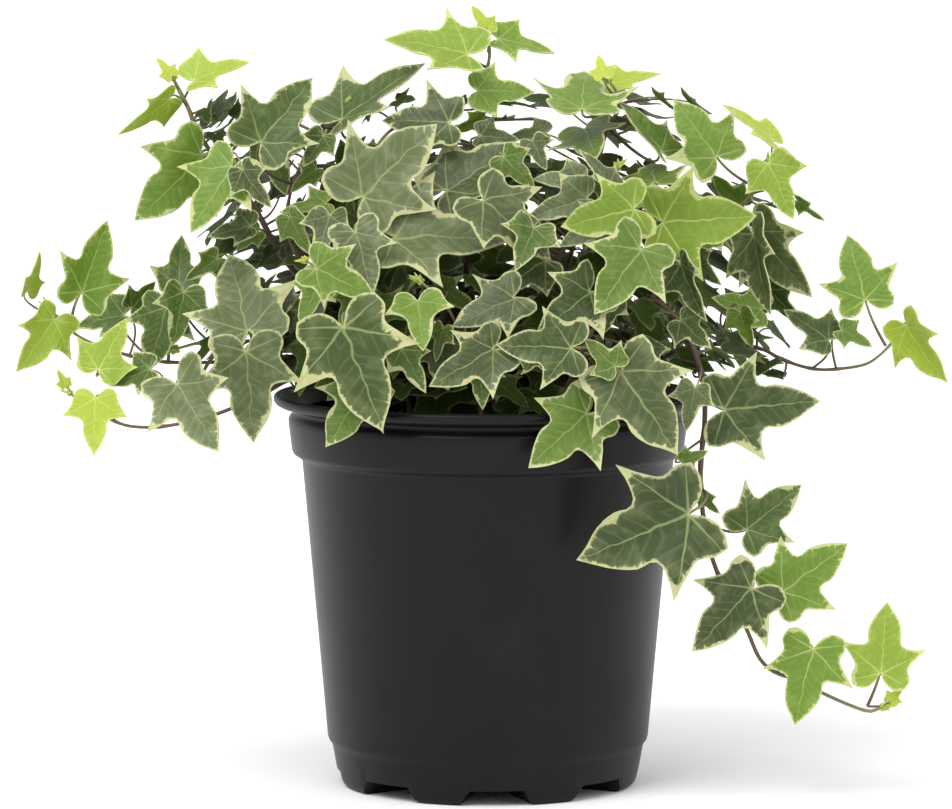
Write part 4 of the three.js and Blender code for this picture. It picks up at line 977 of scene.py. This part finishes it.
# Veins: three pairs of main veins fan out from the stalk, and finer ones branch off them.
veins, ends, out = new_group(
    "ivy_veins", [("Place", "NodeSocketVector"), ("Seed", "NodeSocketFloat")],
    [("Main", "NodeSocketFloat"), ("Branches", "NodeSocketFloat"), ("Quilting", "NodeSocketFloat")],
)
parts, _, spot = leaf_spot(veins, ends, 31.0)
wander = math_node(veins, "SUBTRACT", noise(veins, spot, WANDER_SCALE, 1), 0.5)
u = math_node(veins, "ABSOLUTE", math_node(veins, "MULTIPLY_ADD", wander, VEIN_WANDER, parts[0]))
v = parts[1]
mains, aways, alongs = [], [], []
for angle, reach in VEINS:
    run_u, run_v = math.sin(math.radians(angle)), math.cos(math.radians(angle))
    dot = math_node(veins, "MULTIPLY_ADD", u, run_u, math_node(veins, "MULTIPLY", v, run_v))
    cross = math_node(veins, "MULTIPLY_ADD", u, run_v, math_node(veins, "MULTIPLY", v, -run_u))
    held = math_node(veins, "MINIMUM", math_node(veins, "MAXIMUM", dot, 0.0), reach)
    past = math_node(veins, "SUBTRACT", dot, held)
    square = math_node(veins, "MULTIPLY_ADD", past, past, math_node(veins, "MULTIPLY", cross, cross))
    away = math_node(veins, "SQRT", square)
    width = math_node(veins, "MULTIPLY_ADD", held, -VEIN_WIDTH / reach, VEIN_WIDTH * 1.25)
    mains.append(stepped(veins, math_node(veins, "DIVIDE", away, width), 1.15, 0.4))
    aways.append(away)
    alongs.append(dot)
main = math_node(veins, "MAXIMUM", math_node(veins, "MAXIMUM", mains[0], mains[1]), mains[2])
second = math_node(veins, "LESS_THAN", aways[1], aways[0])
away = math_node(veins, "MINIMUM", aways[0], aways[1])
gain = math_node(veins, "SUBTRACT", alongs[1], alongs[0])
along = math_node(veins, "MULTIPLY_ADD", second, gain, alongs[0])
rank = math_node(veins, "MULTIPLY_ADD", away, -0.8, along)
rank = math_node(veins, "MULTIPLY_ADD", wander, BRANCH_WANDER, rank)
saw = math_node(veins, "PINGPONG", math_node(veins, "DIVIDE", rank, BRANCH_SPACING), 0.5)
fading = math_node(veins, "MULTIPLY", stepped(veins, away, 0.32, 0.05), stepped(veins, along, 0.05, 0.2))
branches = math_node(veins, "MULTIPLY", stepped(veins, saw, 0.2, 0.0), fading)
quilting = math_node(veins, "MULTIPLY", stepped(veins, saw, 0.0, 0.4), stepped(veins, away, 0.0, 0.09))
for title, value in (("Main", main), ("Branches", branches), ("Quilting", quilting)):
    veins.links.new(value, out.inputs[title])

# Cream edge: a hair-thin pale rim all round, which runs a little way in along the finer veins and
# here and there spreads into patches, most of them at the tips of the lobes.
edge, ends, out = new_group(
    "cream_edge",
    [
        ("Place", "NodeSocketVector"), ("Age", "NodeSocketFloat"), ("Seed", "NodeSocketFloat"),
        ("Branches", "NodeSocketFloat"),
    ],
    [("Edge", "NodeSocketFloat"), ("Tan", "NodeSocketFloat"), ("Pale", "NodeSocketFloat")],
)
parts, flat, spot = leaf_spot(edge, ends, 57.0)
from_rim = parts[2]
broad = noise(edge, spot, PATCH_SCALE, 1)
middling = noise(edge, spot, BLOTCH_SCALE, 2)
fine = noise(edge, spot, TOOTH_SCALE, 3, 0.6)
from_stalk = node(edge, "ShaderNodeVectorMath", {0: flat}, operation="LENGTH").outputs["Value"]
spread = stepped(edge, broad, 0.56, 0.76, 0.0, 0.068)
spread = math_node(edge, "MULTIPLY", spread, stepped(edge, from_stalk, 0.15, 0.35))
spread = math_node(edge, "MULTIPLY", spread, stepped(edge, ends.outputs["Age"], 0.15, 0.7, 0.3, 1.0))
teeth = math_node(edge, "MULTIPLY", ends.outputs["Branches"], stepped(edge, middling, 0.45, 0.65, 0.0, 0.035))
limit = math_node(edge, "ADD", spread, teeth)
limit = math_node(edge, "ADD", limit, stepped(edge, fine, 0.3, 0.75, 0.005, 0.026))
cream_share = stepped(edge, math_node(edge, "SUBTRACT", from_rim, limit), 0.015, -0.009, 0.0, 0.82)
tanned = math_node(edge, "MULTIPLY", stepped(edge, broad, 0.6, 0.72), stepped(edge, middling, 0.42, 0.6))
inward = math_node(edge, "MULTIPLY_ADD", from_rim, -2.2, 0.2)
patches = math_node(edge, "MULTIPLY_ADD", middling, 1.5, -0.62)
pale = stepped(edge, math_node(edge, "ADD", inward, patches), -0.1, 0.6, 0.0, 0.8)
lines = math_node(edge, "MULTIPLY", ends.outputs["Branches"], 0.42)
pale = math_node(edge, "ADD", pale, lines, clamp=True)
for title, value in (("Edge", cream_share), ("Tan", tanned), ("Pale", pale)):
    edge.links.new(value, out.inputs[title])


def leaf_material(name, top, gloss):
    material, tree, surface = new_material(name)
    place = node(tree, "ShaderNodeAttribute", attribute_name="leaf_place").outputs["Vector"]
    kind = node(tree, "ShaderNodeAttribute", attribute_name="leaf_kind").outputs["Vector"]
    age, seed, shade = node(tree, "ShaderNodeSeparateXYZ", {0: kind}).outputs
    net = grouped(tree, veins, {"Place": place, "Seed": seed})
    rim = grouped(tree, edge, {"Place": place, "Age": age, "Seed": seed, "Branches": net["Branches"]})
    stray = math_node(tree, "SUBTRACT", math_node(tree, "FRACT", math_node(tree, "MULTIPLY", seed, 7.3)), 0.5)
    tone = math_node(tree, "MULTIPLY_ADD", stray, 0.12, age, clamp=True)
    body = mixed(tree, rim["Pale"], ramp(tree, tone, LEAF_TONES), ramp(tree, tone, PALE_TONES))
    cream = mixed(tree, stepped(tree, age, 0.2, 0.55), LIME_CREAM, CREAM)
    tanned = math_node(tree, "MULTIPLY", rim["Tan"], stepped(tree, age, 0.5, 0.9, 0.0, 0.7))
    cream = mixed(tree, tanned, cream, TAN)
    body = mixed(tree, rim["Edge"], body, cream)
    vein = mixed(tree, stepped(tree, age, 0.2, 0.6), VEIN_YOUNG, VEIN_PALE)
    body = mixed(tree, math_node(tree, "MULTIPLY", net["Main"], 0.55), body, vein)
    # Leaves inside the bush are mixed most of the way to deep green: painted shade.
    body = mixed(tree, math_node(tree, "MULTIPLY", shade, 0.8), body, PAINTED_SHADE_GREEN)
    if not top:
        body = mixed(tree, 0.45, body, UNDERSIDE)
    tree.links.new(body, surface.inputs["Base Color"])
    cells = noise(tree, place, CELL_SCALE, 3, 0.6)
    satin = (0.38, 0.52) if top else (0.6, 0.72)
    tree.links.new(stepped(tree, cells, 0.3, 0.7, *satin), surface.inputs["Roughness"])
    side = 1 if top else -1
    height = math_node(tree, "MULTIPLY", net["Quilting"], 0.5 * side)
    height = math_node(tree, "MULTIPLY_ADD", net["Main"], -0.8 * side, height)
    height = math_node(tree, "MULTIPLY_ADD", cells, 0.12, height)
    bumped(tree, surface, height, LEAF_RELIEF, 0.5)
    surface.inputs["Specular IOR Level"].default_value = gloss
    surface.inputs["Subsurface Weight"].default_value = 0.1
    surface.inputs["Subsurface Scale"].default_value = 0.002
    surface.inputs["Subsurface Radius"].default_value = (0.5, 1.0, 0.2)
    return material


leaf_face = leaf_material("ivy_leaf_face", True, LEAF_SHINE)
leaf_back = leaf_material("ivy_leaf_back", False, LEAF_SHINE)
# Copies for the leaves inside the bush, with less shine; there the colour is darkened with painted shade.
shaded_face = leaf_material("shaded_leaf_face", True, SHADED_SHINE)
shaded_back = leaf_material("shaded_leaf_back", False, SHADED_SHINE)

STEM_TONES = [
    (0.0, (0.075, 0.042, 0.026)), (0.45, (0.09, 0.048, 0.034)), (0.75, (0.13, 0.09, 0.045)),
    (1.0, (0.27, 0.32, 0.10)),
]
STEM_FLECK = (0.2, 0.155, 0.095, 1)
FLECK_SCALE = 1500
BARK_SCALE = 1100
BARK_DEPTH = 0.0002
stem_skin, tree, surface = new_material("ivy_stem_skin")
growth = node(tree, "ShaderNodeAttribute", attribute_name="growth").outputs["Fac"]
place = node(tree, "ShaderNodeTexCoord").outputs["Object"]
flecks = stepped(tree, noise(tree, place, FLECK_SCALE, 4, 0.6), 0.45, 0.62)
skin = mixed(tree, math_node(tree, "MULTIPLY", flecks, 0.3), ramp(tree, growth, STEM_TONES), STEM_FLECK)
tree.links.new(skin, surface.inputs["Base Color"])
tree.links.new(stepped(tree, flecks, 0, 1, 0.5, 0.65), surface.inputs["Roughness"])
bumped(tree, surface, noise(tree, place, BARK_SCALE, 4), BARK_DEPTH, 0.6)

STEM_ROUNDNESS = 0.86
STEM_RINGS = 110
STEM_SIDES = 10
STALK_SIDES = 6
STALK_SEAT = 0.03
LOBED_STALK = 0.82
SMALL_STALK = 0.62
LEAF_SMOOTH_DEGREES = 55
JOINT_SWELLING = 0.3
BUD_LEAVES = 3
SHADED_GAP = 3.0
SHADED_TRIES = 18
START_RINGS = 60
FIRST_START = 10
ROOM_TO_STEM = 1.6
ROOM_TO_BLADE = 2.8
ROOM_TO_POT = 3
ROOM_IN_VIEW = 3.2
ROOM_IN_DEPTH = 1.5
RIM_RADIUS = 66
BUSH_LOW = (-112, -70, 0)
BUSH_HIGH = (118, 110, 268)
BLADE_SPOTS = np.array([(0, k / 7) for k in range(8)] + [
    (side * u, v) for side in (1, -1)
    for u, v in (
        (0.12, -0.1), (0.28, -0.17), (0.36, -0.02), (0.2, 0.06), (0.36, 0.16), (0.18, 0.24), (0.33, 0.3),
        (0.5, 0.34), (0.17, 0.42), (0.12, 0.58), (0.09, 0.74),
    )
])


def shaded_leaf(number, at, index, attempt, count):
    """A leaf of the crowded inside of the bush, close to its stem and turned to the light."""
    draw = leaf_draw(number, index, attempt, SHADED_DRAW)
    share = 0.14 + 0.68 * (index + draw()) / count
    start = at(share)
    outward = Vector((start.x, start.y, 18)).normalized()
    side = turned_about(outward, Vector((0, 0, 1)), math.radians(360 * draw()))
    reach = 6 + 20 * draw()
    base = start + side * reach + outward * (reach * 0.2)
    base.z += reach * (draw() - 0.35)
    facing = outward * (0.3 + 0.6 * draw())
    facing = (facing + Vector((draw() - 0.5, draw() - 0.75, 0.2 + 0.8 * draw()))).normalized()
    tipward = squared(Vector((draw() - 0.5, draw() - 0.5, -0.6)) + side * 0.6, facing)
    length = (20 + 18 * draw()) * (1 - 0.4 * share * share) * (1 - 0.03 * attempt)
    age = 0.62 + 0.28 * draw()
    return {**leaf_pose(base, length, tipward, facing), "age": age, "shaded": True, **leaf_bend(draw)}


def seen(points):
    """Where points appear on the upright plane through the pot's axis, and their depth."""
    upright = [0, 2]
    eye = np.array(EYE)[None, upright]
    depth = points[:, 1]
    share = -EYE.y / (depth - EYE.y)
    return eye + (points[:, upright] - eye) * share[:, None], depth


def has_room(leaf, rods_near, blades_near, shown):
    """Whether a blade clears the pot, the stems, the other blades, and every leaf seen in front."""
    spots = leaf_point(leaf, *BLADE_SPOTS.T)
    over_rim = np.hypot(spots[:, 0], spots[:, 1]) > RIM_RADIUS
    low = spots[:, 2] < PEAT_TOP + ROOM_TO_POT
    if low.any() or (over_rim & (spots[:, 2] < POT_HEIGHT + ROOM_TO_POT)).any():
        return False
    if (spots.min(0) < BUSH_LOW).any() or (spots.max(0) > BUSH_HIGH).any():
        return False
    if np.linalg.norm(rods_near[:, None] - spots[None], axis=2).min() < ROOM_TO_STEM:
        return False
    flat, depth = seen(spots)
    shown_flat, shown_depth = shown
    over = np.linalg.norm(shown_flat[:, None] - flat[None], axis=2) < ROOM_IN_VIEW
    if (over & (shown_depth[:, None] > depth[None] - ROOM_IN_DEPTH)).any():
        return False
    for middle, reach, spots_near in blades_near:
        if np.linalg.norm(middle - spots[3]) < reach + leaf["length"]:
            if np.linalg.norm(spots_near[:, None] - spots[None], axis=2).min() < ROOM_TO_BLADE:
                return False
    return True


def stem_line(vine, points, starts):
    """The stem's middle line, thick at its foot and swollen where a stalk leaves it."""
    line = []
    for i, point in enumerate(points):
        share = i / STEM_RINGS
        near = min([(point - start).length for start in starts], default=99)
        swelling = 1 + JOINT_SWELLING * math.exp(-((near / 1.6) ** 2))
        line.append((point, vine["girth"] / 2 * STEM_ROUNDNESS * (1 - 0.5 * share) * swelling, share * 0.9))
    return line


def bud_leaf(points, turn, draw):
    """A leaf still folded round the tip of a shoot."""
    forward = (points[-1] - points[-4]).normalized()
    side = forward.cross(Vector((0, 0, 1))).normalized()
    facing = turned_about(side, forward, turn)
    along = (forward + facing * (0.5 + 0.4 * draw())).normalized()
    facing = squared(facing, along) * -1
    pose = leaf_pose(points[-1] - forward * 0.5, 3.6 + 3 * draw(), along, facing)
    return {**pose, "age": 0.02, "spread": 0.7, "fold": 0.7, "droop": -0.2, "wave": 0.0, "phase": 0.0}


def spots_of(leaf):
    """A blade's middle, its length and spots all over it, to keep other blades away from."""
    return leaf_point(leaf, 0, 0.4), leaf["length"], leaf_point(leaf, *BLADE_SPOTS.T)


grown = []
rods_near = []
blades_near = []
shown = []
for number, vine in enumerate(VINES):
    corners = cad_points(vine["name"])
    route = stem_points(vine)
    points, length, _ = smooth_line(route, STEM_RINGS)
    centres, _, at = smooth_line(route, int(length / STEM_STEP + 0.5))
    joints = [a.lerp(b, share) for a, b in zip(centres, centres[1:]) for share in (0.25, 0.5, 0.75, 1)]
    leaves = []
    for i, row in enumerate(vine["leaves"]):
        tries = (sighted_leaf(row, slide, leaf_draw(number, i, 0, SHOWN_DRAW)) for slide in SLIDES)
        leaves += [leaf for leaf in tries if grows(corners, leaf)][:1]
    shown += [leaf_point(leaf, *BLADE_SPOTS.T) for leaf in leaves]
    for i in range(vine["fill"][0]):
        tries = (filled_leaf(vine, number, at, i, attempt) for attempt in range(FILL_TRIES))
        leaves += [leaf for leaf in tries if grows(corners, leaf)][:1]
    stalks = [stalk_line(leaf, *stalk_of(corners, joints, leaf), STALK_SEAT) for leaf in leaves]
    rods_near += [np.array(line[1:-2]) for line in stalks] + [np.array(points)]
    blades_near += [spots_of(leaf) for leaf in leaves]
    grown.append((vine, points, at, leaves, stalks))

# The inside of the bush is filled with leaves that mostly hide behind the outer ones.
rods_near = np.concatenate(rods_near)
shown = seen(np.concatenate(shown))
for number, (vine, _, at, leaves, stalks) in enumerate(grown):
    starts, length, _ = smooth_line(stem_points(vine), START_RINGS)
    count = int(length / SHADED_GAP)
    for i in range(count):
        tries = (shaded_leaf(number, at, i, attempt, count) for attempt in range(SHADED_TRIES))
        leaf = next((leaf for leaf in tries if has_room(leaf, rods_near, blades_near, shown)), None)
        if leaf:
            base = leaf["base"]
            start = min(starts[FIRST_START:], key=lambda p: (p - base).length + 0.6 * max(0, p.z - base.z))
            stalks.append(stalk_line(leaf, start, 0.2, STALK_SEAT))
            leaves.append(leaf)
            blades_near.append(spots_of(leaf))

for number, (vine, points, _, leaves, stalks) in enumerate(grown):
    draw = stream(911 * number + 3)
    rod_lines = []
    for leaf, line in zip(leaves, stalks):
        radius = STALK_RADIUS * (LOBED_STALK if leaf["length"] > LOBED_LENGTH else SMALL_STALK)
        shares = np.linspace(0, 1, len(line))
        rod_lines.append([(p, radius * (1.25 - 0.35 * t), 0.6 + 0.4 * t) for p, t in zip(line, shares)])
    leaves += [bud_leaf(points, 2.2 * k + FULL_TURN * draw(), draw) for k in range(BUD_LEAVES)]
    groups = []
    for inner, skins in ((False, (leaf_face, leaf_back)), (True, (shaded_face, shaded_back))):
        blades = [grow_leaf(leaf, draw()) for leaf in leaves if bool(leaf.get("shaded")) == inner]
        if not blades:
            continue
        for blade in blades:
            for skin in skins:
                blade.data.materials.append(skin)
        group = joined(vine["name"] + "_leaves", blades)
        apply_modifier(group, "SOLIDIFY", thickness=LEAF_THICKNESS * MM, offset=0, material_offset=1)
        bpy.ops.object.shade_smooth_by_angle(angle=math.radians(LEAF_SMOOTH_DEGREES))
        groups.append(group)
    stem = rods("stem", [stem_line(vine, points, [line[0] for line in stalks])], STEM_SIDES)
    wires = rods("stalks", rod_lines, STALK_SIDES)
    for piece in (stem, wires):
        piece.data.materials.append(stem_skin)
    shoot = joined("ivy" + vine["name"][4:], groups + [stem, wires])
    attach(shoot, "root")
    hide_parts(vine["name"])

for pattern in five_lobed + three_lobed + shaded:
    bpy.data.objects.remove(pattern)

# Studio
# A plain pale floor that runs out of view, a bright even surround, soft sun from above the left
# shoulder, and a long lens a little above the rim of the pot.

EYE_AIM = Vector((-4.6, 0, 146.5))
LENS = 192.5
FAR = 200
FLOOR_SIZE = 80
FLOOR_TONE = (0.92, 0.92, 0.92, 1)
SUNS = [("key_sun", (38, -8, -24), 1.7, 34), ("fill_sun", (52, 0, 50), 0.5, 60)]

bpy.ops.mesh.primitive_plane_add(size=FLOOR_SIZE)
floor = bpy.context.object
floor.name = "studio_floor"
pale, tree, surface = new_material("pale_floor")
surface.inputs["Base Color"].default_value = FLOOR_TONE
surface.inputs["Roughness"].default_value = 0.9
surface.inputs["Specular IOR Level"].default_value = 0.2
floor.data.materials.append(pale)

for name, turn, strength, softness in SUNS:
    bpy.ops.object.light_add(type="SUN", rotation=[math.radians(a) for a in turn])
    light = bpy.context.object
    light.name = name
    light.data.energy = strength
    light.data.angle = math.radians(softness)
world = bpy.data.worlds.new("studio_air")
world.use_nodes = True
world.node_tree.nodes["Background"].inputs["Color"].default_value = (1, 1, 1, 1)
world.node_tree.nodes["Background"].inputs["Strength"].default_value = 1.0
bpy.context.scene.world = world
bpy.context.scene.view_settings.view_transform = "Standard"

camera_data = bpy.data.cameras.new("camera")
camera_data.lens = LENS
camera_data.sensor_width = 36
camera_data.clip_end = FAR
camera = bpy.data.objects.new("camera", camera_data)
bpy.context.collection.objects.link(camera)
camera.location = EYE * MM
camera.rotation_euler = ((EYE_AIM - EYE).to_track_quat("-Z", "Y")).to_euler()
bpy.context.scene.camera = camera
